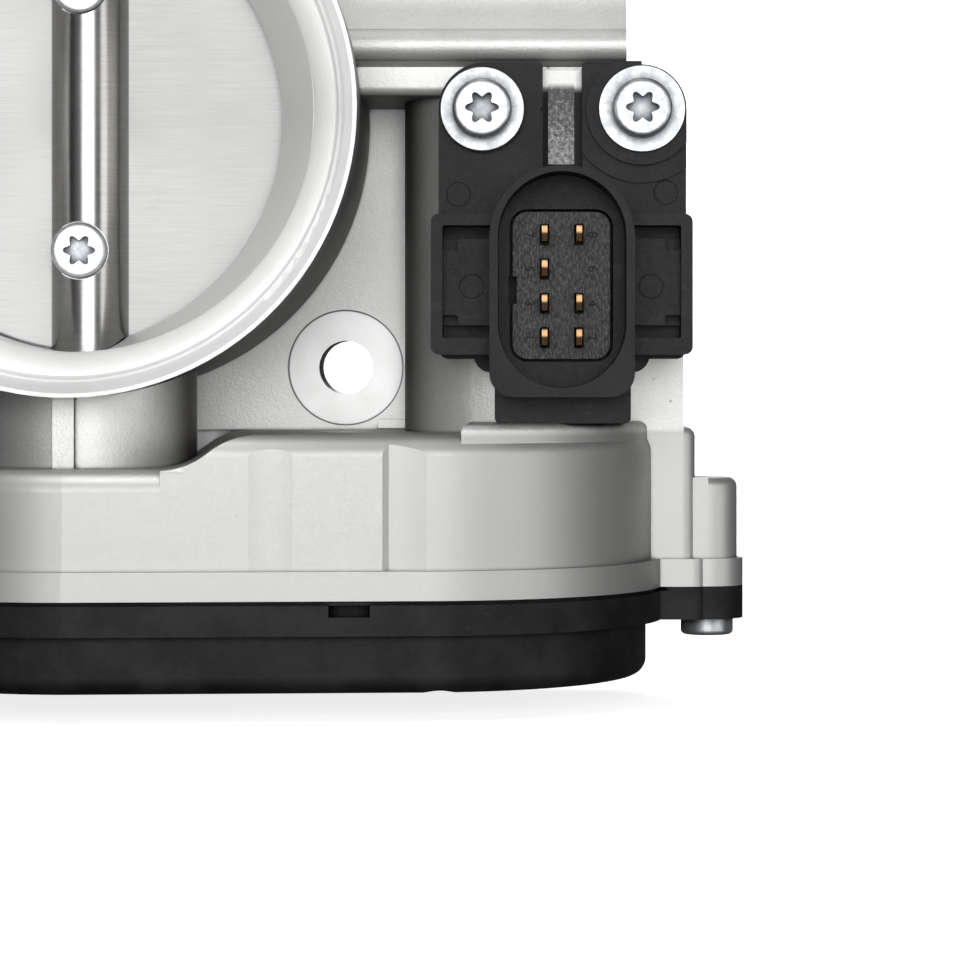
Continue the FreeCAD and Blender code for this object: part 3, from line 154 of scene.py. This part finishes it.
def add_studio():
    """A grey surround, brightest on the camera's side of the object and darkest beside it."""
    world = bpy.data.worlds.new("studio")
    world.use_nodes = True
    nodes = world.node_tree.nodes
    links = world.node_tree.links
    background = nodes["Background"]
    coordinate = nodes.new("ShaderNodeTexCoord")
    split = nodes.new("ShaderNodeSeparateXYZ")
    links.new(coordinate.outputs["Generated"], split.inputs[0])
    front = nodes.new("ShaderNodeMath")
    front.operation = "MULTIPLY_ADD"
    half = 0.5
    front.inputs[1].default_value = -half
    front.inputs[2].default_value = half
    links.new(split.outputs["Y"], front.inputs[0])
    ramp = nodes.new("ShaderNodeValToRGB")
    while len(ramp.color_ramp.elements) < len(STUDIO_GREYS):
        ramp.color_ramp.elements.new(half)
    for element, (place, level) in zip(ramp.color_ramp.elements, STUDIO_GREYS):
        element.position = place
        element.color = (level, level, level, 1)
    links.new(front.outputs[0], ramp.inputs[0])
    links.new(ramp.outputs[0], background.inputs["Color"])
    background.inputs["Strength"].default_value = STUDIO_STRENGTH
    bpy.context.scene.world = world


def add_lights():
    """Soft lamps round the object, and four small ones that face outwards in front of the bore."""
    lamps = (
        ("key", (-0.02, -1.3, 0.16), 0.75, 6.2, 0.6),
        ("fill", (0.24, -1.3, -0.02), 0.4, 1.9, 0.5),
        ("side", (0.95, -0.75, 0.0), 0.6, 3.2, 0.6),
        ("top", (0.0, -0.35, 0.9), 0.4, 1.2, 0.3),
    )
    for name, place, size, power, size_y in lamps:
        add_area(name, place, LIGHT_TARGET, size, power, size_y)
    mouth = Vector((0.0, -0.085, 0.0))
    mouth_size = 0.02
    mouth_power = 0.012
    for x, z in ((1, 0), (-1, 0), (0, 1), (0, -1)):
        lamp = add_area(f"mouth_{x}_{z}", mouth, mouth + Vector((x, 0, z)), mouth_size, mouth_power)
        lamp.visible_camera = False
    rear = add_area("rear", (-0.1, 0.75, 0.45), LIGHT_TARGET, 0.6, 5.0, 0.5)
    rear.visible_camera = False


def add_floor():
    """A pale sweep: floor under the object, curving up behind it."""
    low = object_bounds()[0].z - 4 * MM
    reach = 3.0
    back = 0.9
    bend = 0.5
    steps = 12
    profile = [(-reach, low), (back - bend, low)]
    for i in range(1, steps + 1):
        turn = math.pi / 2 * i / steps
        profile.append((back - bend + bend * math.sin(turn), low + bend * (1 - math.cos(turn))))
    profile.append((back, reach))
    vertices = [(side * reach, y, z) for y, z in profile for side in (-1, 1)]
    faces = [(2 * i, 2 * i + 1, 2 * i + 3, 2 * i + 2) for i in range(len(profile) - 1)]
    mesh = bpy.data.meshes.new("sweep")
    mesh.from_pydata(vertices, [], faces)
    for polygon in mesh.polygons:
        polygon.use_smooth = True
    sweep = bpy.data.objects.new("sweep", mesh)
    bpy.context.scene.collection.objects.link(sweep)
    material = bpy.data.materials.new("sweep_white")
    material.use_nodes = True
    shader = material.node_tree.nodes["Principled BSDF"]
    look = {
        "Base Color": (0.95, 0.95, 0.95, 1),
        "Roughness": 0.9,
        "Emission Color": (1, 1, 1, 1),
        "Emission Strength": 0.8,
    }
    for name, value in look.items():
        shader.inputs[name].default_value = value
    mesh.materials.append(material)
    sweep.visible_diffuse = False
    sweep.visible_glossy = False


# ---------------------------------------------------------------- materials

class Graph:
    """A material's node tree, with short calls for the nodes used here."""

    OPENNESS_SAMPLES = 6

    def __init__(self, name, colour, metallic, roughness, specular=0.5):
        self.material = bpy.data.materials.new(name)
        self.material.use_nodes = True
        self.nodes = self.material.node_tree.nodes
        self.links = self.material.node_tree.links
        self.shader = self.nodes["Principled BSDF"]
        self.shader.inputs["Base Color"].default_value = (*colour, 1)
        self.shader.inputs["Metallic"].default_value = metallic
        self.shader.inputs["Roughness"].default_value = roughness
        self.shader.inputs["Specular IOR Level"].default_value = specular
        self.place = self.nodes.new("ShaderNodeTexCoord").outputs["Object"]
        self.split = None

    def axis(self, name):
        if self.split is None:
            self.split = self.nodes.new("ShaderNodeSeparateXYZ")
            self.links.new(self.place, self.split.inputs[0])
        return self.split.outputs[name]

    def feed(self, socket, value):
        if isinstance(value, (int, float)):
            socket.default_value = value
        elif isinstance(value, tuple):
            socket.default_value = (*value, 1)
        else:
            self.links.new(value, socket)

    def math(self, operation, first, second=0.0, third=0.0):
        item = self.nodes.new("ShaderNodeMath")
        item.operation = operation
        for socket, value in zip(item.inputs, (first, second, third)):
            self.feed(socket, value)
        return item.outputs[0]

    def stretched(self, x, y, z):
        item = self.nodes.new("ShaderNodeMapping")
        item.inputs["Scale"].default_value = (x, y, z)
        self.links.new(self.place, item.inputs["Vector"])
        return item.outputs[0]

    def noise(self, scale, detail=2.0, rough=0.5, vector=None):
        item = self.nodes.new("ShaderNodeTexNoise")
        item.inputs["Scale"].default_value = scale
        item.inputs["Detail"].default_value = detail
        item.inputs["Roughness"].default_value = rough
        self.links.new(vector or self.place, item.inputs["Vector"])
        return item.outputs["Fac"]

    def cells(self, scale):
        item = self.nodes.new("ShaderNodeTexVoronoi")
        item.inputs["Scale"].default_value = scale
        self.links.new(self.place, item.inputs["Vector"])
        return item.outputs["Distance"]

    def step(self, value, low, high):
        """0 below low, 1 above high, smooth between; low above high turns it round."""
        item = self.nodes.new("ShaderNodeMapRange")
        item.interpolation_type = "SMOOTHSTEP"
        turned = low > high
        self.feed(item.inputs["Value"], value)
        item.inputs["From Min"].default_value = min(low, high)
        item.inputs["From Max"].default_value = max(low, high)
        item.inputs["To Min"].default_value = 1.0 if turned else 0.0
        item.inputs["To Max"].default_value = 0.0 if turned else 1.0
        return item.outputs[0]

    def above(self, value, edge, soft):
        """1 past an edge, 0 before it; edge and softness in millimetres."""
        return self.step(value, (edge - soft) * MM, (edge + soft) * MM)

    def below(self, value, edge, soft):
        """1 before an edge, 0 past it; edge and softness in millimetres."""
        return self.step(value, (edge + soft) * MM, (edge - soft) * MM)

    def within(self, value, edges, soft):
        """1 between two edges in millimetres."""
        return self.product(self.above(value, edges[0], soft), self.below(value, edges[1], soft))

    def product(self, first, second):
        return self.math("MULTIPLY", first, second)

    def between(self, value, low, high):
        """A value from 0 to 1 carried to the range from low to high."""
        item = self.nodes.new("ShaderNodeMapRange")
        self.feed(item.inputs["Value"], value)
        item.inputs["From Min"].default_value = 0.0
        item.inputs["From Max"].default_value = 1.0
        item.inputs["To Min"].default_value = low
        item.inputs["To Max"].default_value = high
        return item.outputs[0]

    def mix(self, amount, first, second):
        item = self.nodes.new("ShaderNodeMix")
        item.data_type = "RGBA"
        self.feed(item.inputs[0], amount)
        self.feed(item.inputs[6], first)
        self.feed(item.inputs[7], second)
        return item.outputs[2]

    def blend(self, amount, first, second):
        item = self.nodes.new("ShaderNodeMix")
        item.data_type = "FLOAT"
        self.feed(item.inputs[0], amount)
        self.feed(item.inputs[2], first)
        self.feed(item.inputs[3], second)
        return item.outputs[0]

    def bump(self, height, strength, distance):
        item = self.nodes.new("ShaderNodeBump")
        item.inputs["Strength"].default_value = strength
        item.inputs["Distance"].default_value = distance
        self.links.new(height, item.inputs["Height"])
        return item.outputs[0]

    def openness(self, reach):
        """1 where nothing stands within reach, towards 0 deep in a corner or a hole."""
        item = self.nodes.new("ShaderNodeAmbientOcclusion")
        item.samples = self.OPENNESS_SAMPLES
        item.inputs["Distance"].default_value = reach
        return item.outputs["AO"]

    def facing(self, name):
        """One part of the surface's own direction."""
        item = self.nodes.new("ShaderNodeSeparateXYZ")
        self.links.new(self.nodes.new("ShaderNodeNewGeometry").outputs["Normal"], item.inputs[0])
        return item.outputs[name]

    def colour(self, value):
        self.feed(self.shader.inputs["Base Color"], value)

    def roughness(self, value):
        self.feed(self.shader.inputs["Roughness"], value)

    def metallic(self, value):
        self.feed(self.shader.inputs["Metallic"], value)

    def specular(self, value):
        self.feed(self.shader.inputs["Specular IOR Level"], value)

    def normal(self, value):
        self.links.new(value, self.shader.inputs["Normal"])


def distance_from(graph, x, z):
    """Distance in the X-Z plane from a point."""
    dx = graph.math("SUBTRACT", graph.axis("X"), x)
    dz = graph.math("SUBTRACT", graph.axis("Z"), z)
    total = graph.math("ADD", graph.math("POWER", dx, 2.0), graph.math("POWER", dz, 2.0))
    return graph.math("SQRT", total)


def casting_zones(graph, radius):
    """Where the casting is turned or milled, and the thin line round each spot face."""
    turned = graph.below(radius, TURNED_RADIUS, 0.05)
    spots = None
    lines = None
    for side in (-1, 1):
        for up in (-1, 1):
            gap = distance_from(graph, side * BOLT_OFFSET * MM, up * BOLT_OFFSET * MM)
            near = graph.below(gap, SPOT_RADIUS, 0.05)
            line = graph.within(gap, SPOT_LINE, 0.05)
            spots = near if spots is None else graph.math("MAXIMUM", spots, near)
            lines = line if lines is None else graph.math("MAXIMUM", lines, line)
    flange = graph.above(graph.axis("Y"), FLANGE_FRONT_Y, 0.1)
    rear = graph.above(graph.axis("Y"), REAR_Y, 0.1)
    machined = graph.math("MAXIMUM", turned, graph.math("MAXIMUM", graph.product(spots, flange), rear))
    return turned, machined, graph.product(lines, flange)


def case_mask(graph):
    """1 on the gear case, whose skin is smoother and darker than the rest of the casting."""
    low = graph.below(graph.axis("Z"), LOW_CASE_Z, 0.3)
    high = graph.product(graph.below(graph.axis("Z"), HIGH_CASE_Z, 0.5),
                         graph.above(graph.axis("X"), HIGH_CASE_X, 0.75))
    return graph.math("MAXIMUM", low, high)


def ear_hollow_shade(graph):
    """Painted shade on the rib behind the plug's ears: dust specks on a face painted darker towards the top,
    and a near-black sheet of painted shade in the gap on each side: its mask and colour.
    """
    along = graph.product(graph.above(graph.axis("Z"), HOLLOW_BOTTOM_Z, 0.2),
                          graph.below(graph.axis("Z"), HOLLOW_TOP_Z, 0.7))
    mask = graph.product(graph.product(graph.within(graph.axis("X"), HOLLOW_X, 0.1), along),
                         graph.below(graph.axis("Y"), HOLLOW_Y, 0.3))
    # painted shade: the rib's face is painted darker towards the top and lighter lower down
    shade_fading_lower = graph.product(graph.axis("Z"), -14.0)
    # dusty here holds the dust specks and the painted shade gradient together
    dusty = graph.math("ADD", graph.noise(MIDDLE, 5.0, 0.75), shade_fading_lower)
    face = graph.mix(graph.step(dusty, 0.42, 0.80), (0.045, 0.045, 0.046), (0.42, 0.42, 0.42))
    # painted shade: the gaps on each side of the rib are painted near black
    colour = graph.mix(graph.below(graph.axis("Y"), RIB_FACE_Y, 0.2), (0.008, 0.008, 0.008), face)
    return mask, colour


def painted_casting_shade(graph, radius):
    """Painted shade for a recessed side wall outside the bore: how dark it is painted, by the wall's
    direction and how enclosed it is, and less on walls facing up.
    """
    sideways = graph.step(graph.math("ABSOLUTE", graph.facing("Y")), 0.75, 0.25)
    outside = graph.above(radius, PAINTED_SHADE_RADIUS, 0.2)
    enclosed = graph.step(graph.openness(40 * MM), 0.90, 0.45)
    upward = graph.step(graph.facing("Z"), 0.3, 0.9)
    depth = graph.product(graph.product(sideways, outside), enclosed)
    return graph.product(depth, graph.between(upward, 0.94, 0.55))


def casting_material():
    """Grainy die casting with bright turned and milled faces, and painted shade on recessed walls, in
    creases and behind the plug's ears.
    """
    graph = Graph("cast_aluminium", (0.6, 0.6, 0.59), 0.55, 0.5)
    radius = distance_from(graph, 0.0, 0.0)
    turned, machined, spot_lines = casting_zones(graph, radius)
    case = case_mask(graph)
    mouth = graph.product(turned, graph.below(graph.axis("Y"), MOUTH_Y, 0.5))
    rim = graph.below(graph.axis("Y"), RIM_Y, 0.25)

    cloudy = graph.noise(45.0, 4.0, 0.6)
    grain = graph.noise(FINE, 3.0, 0.6)
    coarse = graph.noise(COARSE, 3.0, 0.55)
    streaks = graph.noise(1.0, 2.0, 0.5, graph.stretched(300.0, 9000.0, 300.0))
    pits = graph.step(graph.cells(420.0), 0.16, 0.05)
    rare = graph.step(graph.noise(150.0, 1.0), 0.64, 0.70)
    specks = graph.product(pits, rare)

    tone = graph.math("ADD", graph.product(cloudy, 0.55), graph.product(grain, 0.45))
    cast = graph.mix(graph.step(tone, 0.32, 0.68), (0.77, 0.77, 0.76), (0.91, 0.91, 0.89))
    cast = graph.mix(graph.product(specks, 0.75), cast, (0.16, 0.15, 0.14))
    cast = graph.mix(case, cast, (0.60, 0.60, 0.59))
    milled = graph.mix(streaks, (0.66, 0.66, 0.66), (0.80, 0.80, 0.79))
    mouth_colour = graph.mix(streaks, (0.72, 0.72, 0.71), (0.84, 0.84, 0.83))
    mouth_colour = graph.mix(rim, mouth_colour, (0.55, 0.55, 0.545))
    surface = graph.mix(machined, cast, milled)
    surface = graph.mix(mouth, surface, mouth_colour)
    # painted shade: recessed side walls outside the bore are painted dark brown
    surface = graph.mix(painted_casting_shade(graph, radius), surface, PAINTED_SHADE_BROWN)
    hollow, hollow_shade_colour = ear_hollow_shade(graph)
    # painted shade on the rib and the gaps behind the plug's ears
    surface = graph.mix(graph.product(hollow, 0.96), surface, hollow_shade_colour)
    # painted shade in narrow creases and corners, drawn in the same brown as the real line round each spot
    # face
    painted_crease_shade = graph.step(graph.openness(1.1 * MM), 0.62, 0.30)
    lines = graph.product(graph.math("MAXIMUM", painted_crease_shade, spot_lines), 0.8)
    graph.colour(graph.mix(lines, surface, CREASE_SHADE_AND_LINE_BROWN))

    cast_rough = graph.between(grain, 0.46, 0.62)
    milled_rough = graph.between(streaks, 0.38, 0.50)
    graph.roughness(graph.blend(machined, cast_rough, milled_rough))
    graph.metallic(graph.blend(mouth, graph.blend(machined, 0.72, 0.55), 0.15))

    rings = graph.math("SINE", graph.product(graph.axis("Y"), 26000.0))
    texture = graph.math("ADD", graph.product(grain, 0.9), graph.product(coarse, 0.7))
    pitted = graph.math("SUBTRACT", texture, specks)
    cast_height = graph.product(pitted, graph.between(case, 1.0, 0.22))
    height = graph.blend(machined, cast_height, graph.product(rings, 0.12))
    graph.normal(graph.bump(height, 0.35, 0.18 * MM))
    return graph.material


def plate_material():
    """Brushed aluminium sheet."""
    graph = Graph("plate_aluminium", (0.52, 0.52, 0.515), 0.6, 0.55)
    lines = graph.noise(1.0, 3.0, 0.6, graph.stretched(120.0, 400.0, 7000.0))
    soft = graph.noise(60.0, 3.0, 0.5)
    graph.colour(graph.mix(graph.step(lines, 0.30, 0.70), (0.49, 0.49, 0.485), (0.55, 0.55, 0.545)))
    graph.roughness(graph.between(soft, 0.52, 0.60))
    graph.normal(graph.bump(lines, 0.10, 0.05 * MM))
    return graph.material


def steel_material():
    """Bright ground steel, marked round its axis."""
    graph = Graph("ground_steel", (0.34, 0.34, 0.34), 1.0, 0.2)
    rings = graph.noise(1.0, 2.0, 0.5, graph.stretched(60.0, 60.0, 9000.0))
    graph.colour(graph.mix(rings, (0.23, 0.225, 0.22), (0.36, 0.355, 0.35)))
    graph.roughness(graph.between(graph.noise(90.0, 3.0), 0.14, 0.28))
    graph.normal(graph.bump(rings, 0.10, 0.04 * MM))
    return graph.material


def zinc_material():
    """Zinc-plated screws and sleeves, with painted shade in their sockets."""
    graph = Graph("zinc_steel", (0.72, 0.73, 0.75), 0.8, 0.4)
    patch = graph.noise(900.0, 3.0, 0.6)
    dull = graph.noise(260.0, 2.0)
    face = graph.mix(graph.step(patch, 0.35, 0.7), (0.42, 0.44, 0.46), (0.60, 0.61, 0.62))
    # painted shade: the socket hollows are painted near black
    socket_shade = graph.step(graph.openness(2.4 * MM), 0.88, 0.42)
    graph.colour(graph.mix(graph.product(socket_shade, 0.93), face, (0.03, 0.034, 0.042)))
    graph.roughness(graph.between(dull, 0.34, 0.52))
    graph.normal(graph.bump(patch, 0.12, 0.06 * MM))
    return graph.material


def plastic_material(name, colour, rough_low, rough_high, grain_scale=FINE, bump=0.22):
    """Moulded plastic: cloudy, lightly scuffed, with painted shade in its narrow gaps."""
    graph = Graph(name, colour, 0.0, 0.5, 0.3)
    grain = graph.noise(grain_scale, 3.0, 0.6)
    cloudy = graph.noise(120.0, 4.0, 0.6)
    scuff = graph.step(graph.noise(1.0, 5.0, 0.7, graph.stretched(500.0, 500.0, 1500.0)), 0.62, 0.74)
    pale = tuple(min(1.0, c * 1.9 + 0.012) for c in colour)
    worn = tuple(min(1.0, c * 3.5 + 0.03) for c in colour)
    dark = tuple(c * 0.15 for c in colour)
    # painted shade: narrow gaps are painted dark and lose their sheen
    gap = graph.step(graph.openness(2 * MM), 0.62, 0.32)
    surface = graph.mix(graph.step(cloudy, 0.35, 0.75), colour, pale)
    surface = graph.mix(graph.product(scuff, 0.35), surface, worn)
    graph.colour(graph.mix(gap, surface, dark))
    graph.specular(graph.blend(gap, 0.3, 0.02))
    rough = graph.math("ADD", graph.product(grain, 0.6), graph.product(cloudy, 0.4))
    graph.roughness(graph.between(rough, rough_low, rough_high))
    graph.normal(graph.bump(grain, bump, 0.12 * MM))
    return graph.material


def socket_material():
    """The connector's black plastic, scuffed pale in upright streaks on the island round the blades, with
    painted shade in its narrow gaps.
    """
    graph = Graph("socket_plastic", (0.009, 0.009, 0.010), 0.0, 0.5, 0.3)
    grain = graph.noise(FINE, 3.0, 0.6)
    cloudy = graph.noise(120.0, 4.0, 0.6)
    streak = graph.step(graph.noise(1.0, 6.0, 0.75, graph.stretched(4200.0, 800.0, 1100.0)), 0.42, 0.70)
    dusty = graph.step(graph.noise(220.0, 5.0, 0.7), 0.56, 0.74)
    face = graph.product(graph.above(graph.axis("Y"), ISLAND_Y[0], 0.25),
                         graph.below(graph.axis("Y"), ISLAND_Y[1], 0.15))
    island = graph.product(face, graph.within(graph.axis("X"), ISLAND_X, 0.2))
    base = graph.mix(graph.step(cloudy, 0.35, 0.75), (0.007, 0.007, 0.0075), (0.014, 0.014, 0.015))
    base = graph.mix(graph.product(dusty, 0.35), base, (0.060, 0.060, 0.062))
    worn = graph.mix(streak, (0.022, 0.022, 0.023), (0.20, 0.20, 0.205))
    # painted shade: narrow gaps are painted near black
    gap = graph.step(graph.openness(1.2 * MM), 0.70, 0.35)
    graph.colour(graph.mix(gap, graph.mix(island, base, worn), NEAR_BLACK))
    graph.roughness(graph.between(grain, 0.42, 0.66))
    graph.normal(graph.bump(grain, 0.2, 0.12 * MM))
    return graph.material


def blade_material():
    """Dull brass blades, with a painted highlight band at the middle of each and painted shade at the ends.
    """
    graph = Graph("blade_brass", (0.4, 0.26, 0.11), 1.0, 0.35)
    from_first_row = graph.math("ADD", graph.axis("Z"), -BLADE_ROWS_Z[0] * MM)
    rows = graph.product(from_first_row, -1.0 / (BLADE_PITCH * MM))
    phase = graph.math("FRACT", graph.math("ADD", rows, 0.5))
    # painted highlight across the middle of each blade, painted shade at its ends
    painted_highlight = graph.product(graph.step(phase, 0.24, 0.34), graph.step(phase, 0.52, 0.42))
    graph.colour(graph.mix(painted_highlight, (0.020, 0.012, 0.006), (0.34, 0.20, 0.10)))
    graph.roughness(graph.between(graph.noise(MIDDLE, 3.0), 0.30, 0.44))
    return graph.material


def plain_metal(name, dark, light, rough_low, rough_high, metallic=1.0):
    """An even metal with a fine grain."""
    graph = Graph(name, light, metallic, 0.3)
    fine = graph.noise(MIDDLE, 3.0, 0.6)
    broad = graph.noise(150.0, 3.0)
    graph.colour(graph.mix(graph.step(fine, 0.3, 0.7), dark, light))
    graph.roughness(graph.between(broad, rough_low, rough_high))
    graph.normal(graph.bump(fine, 0.08, 0.05 * MM))
    return graph.material


def dress_nodes():
    """One procedural material for each record slot, given to the nodes of that slot."""
    made = {
        "cast_aluminium": casting_material(),
        "plate_aluminium": plate_material(),
        "steel": steel_material(),
        "zinc_steel": zinc_material(),
        "bearing_steel": plain_metal("bearing_steel", (0.55, 0.56, 0.58), (0.75, 0.76, 0.78), 0.12, 0.25),
        "seal_rubber": plastic_material("seal_rubber", (0.012, 0.012, 0.012), 0.65, 0.85, 1800.0),
        "gear_plastic": plastic_material("gear_plastic", (0.62, 0.58, 0.46), 0.4, 0.55, 2200.0, 0.1),
        "spring_steel": plain_metal("spring_steel", (0.20, 0.20, 0.21), (0.38, 0.38, 0.39), 0.25, 0.4),
        "motor_steel": plain_metal("motor_steel", (0.48, 0.48, 0.46), (0.62, 0.62, 0.60), 0.25, 0.4),
        "brass": plain_metal("brass", (0.55, 0.38, 0.14), (0.80, 0.60, 0.28), 0.18, 0.32),
        "black_plastic": plastic_material("black_plastic", (0.010, 0.010, 0.011), 0.38, 0.62),
        "magnet": plain_metal("magnet", (0.08, 0.08, 0.085), (0.16, 0.16, 0.165), 0.35, 0.5, 0.7),
        "board_green": plastic_material("board_green", (0.02, 0.12, 0.05), 0.3, 0.45, 1200.0, 0.1),
    }
    special = {
        "gear_cover": plastic_material("cover_plastic", (0.0065, 0.0065, 0.007), 0.5, 0.75, 1600.0),
        "connector_housing": socket_material(),
        "connector_pins": blade_material(),
    }
    for entry in frame["record"]["subparts"]:
        material = special.get(entry["node"]) or made[entry["material_slot"]]
        slots = NODES[entry["node"]].material_slots
        for slot in slots:
            slot.material = material
        if not slots:
            NODES[entry["node"]].data.materials.append(material)
    return made


# ---------------------------------------------------------------- small moulded details

def add_mesh(name, vertices, faces, material, body):
    mesh = bpy.data.meshes.new(name)
    mesh.from_pydata(vertices, [], faces)
    mesh.materials.append(material)
    for polygon in mesh.polygons:
        polygon.use_smooth = True
    item = bpy.data.objects.new(name, mesh)
    bpy.context.scene.collection.objects.link(item)
    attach(item, body)


def ring_mesh(centres, wire):
    """Thin rings facing -Y: centres are (x, y, z, radius)."""
    vertices = []
    faces = []
    around = 40
    section = 8
    for x, y, z, radius in centres:
        start = len(vertices)
        for i in range(around):
            turn = 2 * math.pi * i / around
            for j in range(section):
                tilt = 2 * math.pi * j / section
                reach = radius + wire * math.cos(tilt)
                vertices.append((x + reach * math.cos(turn), y + wire * math.sin(tilt),
                                 z + reach * math.sin(turn)))
        for i in range(around):
            for j in range(section):
                a = start + i * section + j
                b = start + i * section + (j + 1) % section
                c = start + ((i + 1) % around) * section + (j + 1) % section
                d = start + ((i + 1) % around) * section + j
                faces.append((a, b, c, d))
    return vertices, faces


def add_digits(material):
    """Terminal numbers moulded on the island's face."""
    for z, pair in zip(BLADE_ROWS_Z, BLADE_NUMBERS):
        for x, digit in zip(DIGIT_X, pair):
            data = bpy.data.curves.new(f"digit_{digit}", "FONT")
            data.body = digit
            data.size = DIGIT_SIZE * MM
            data.extrude = DIGIT_RAISE * MM
            data.align_x = "CENTER"
            data.align_y = "CENTER"
            data.materials.append(material)
            item = bpy.data.objects.new(f"digit_{digit}", data)
            item.location = (x * MM, DIGIT_FACE_Y * MM, z * MM)
            item.rotation_euler = (math.pi / 2, math.pi / 2, 0)
            bpy.context.scene.collection.objects.link(item)
            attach(item, "housing")


def add_marks(material):
    """Round ejector marks on the connector's plate and in its wings."""
    marks = [(x * MM, PLATE_MARK_Y * MM, z * MM, MARK_RADIUS * MM) for x, z in PLATE_MARKS]
    marks += [(x * MM, WING_MARK_Y * MM, z * MM, MARK_RADIUS * MM) for x, z in WING_MARKS]
    vertices, faces = ring_mesh(marks, MARK_WIRE * MM)
    add_mesh("ejector_marks", vertices, faces, material, "housing")


made = dress_nodes()
add_digits(plastic_material("worn_plastic", NEAR_BLACK, 0.5, 0.7))
add_marks(made["black_plastic"])
add_camera()
add_studio()
add_lights()
add_floor()
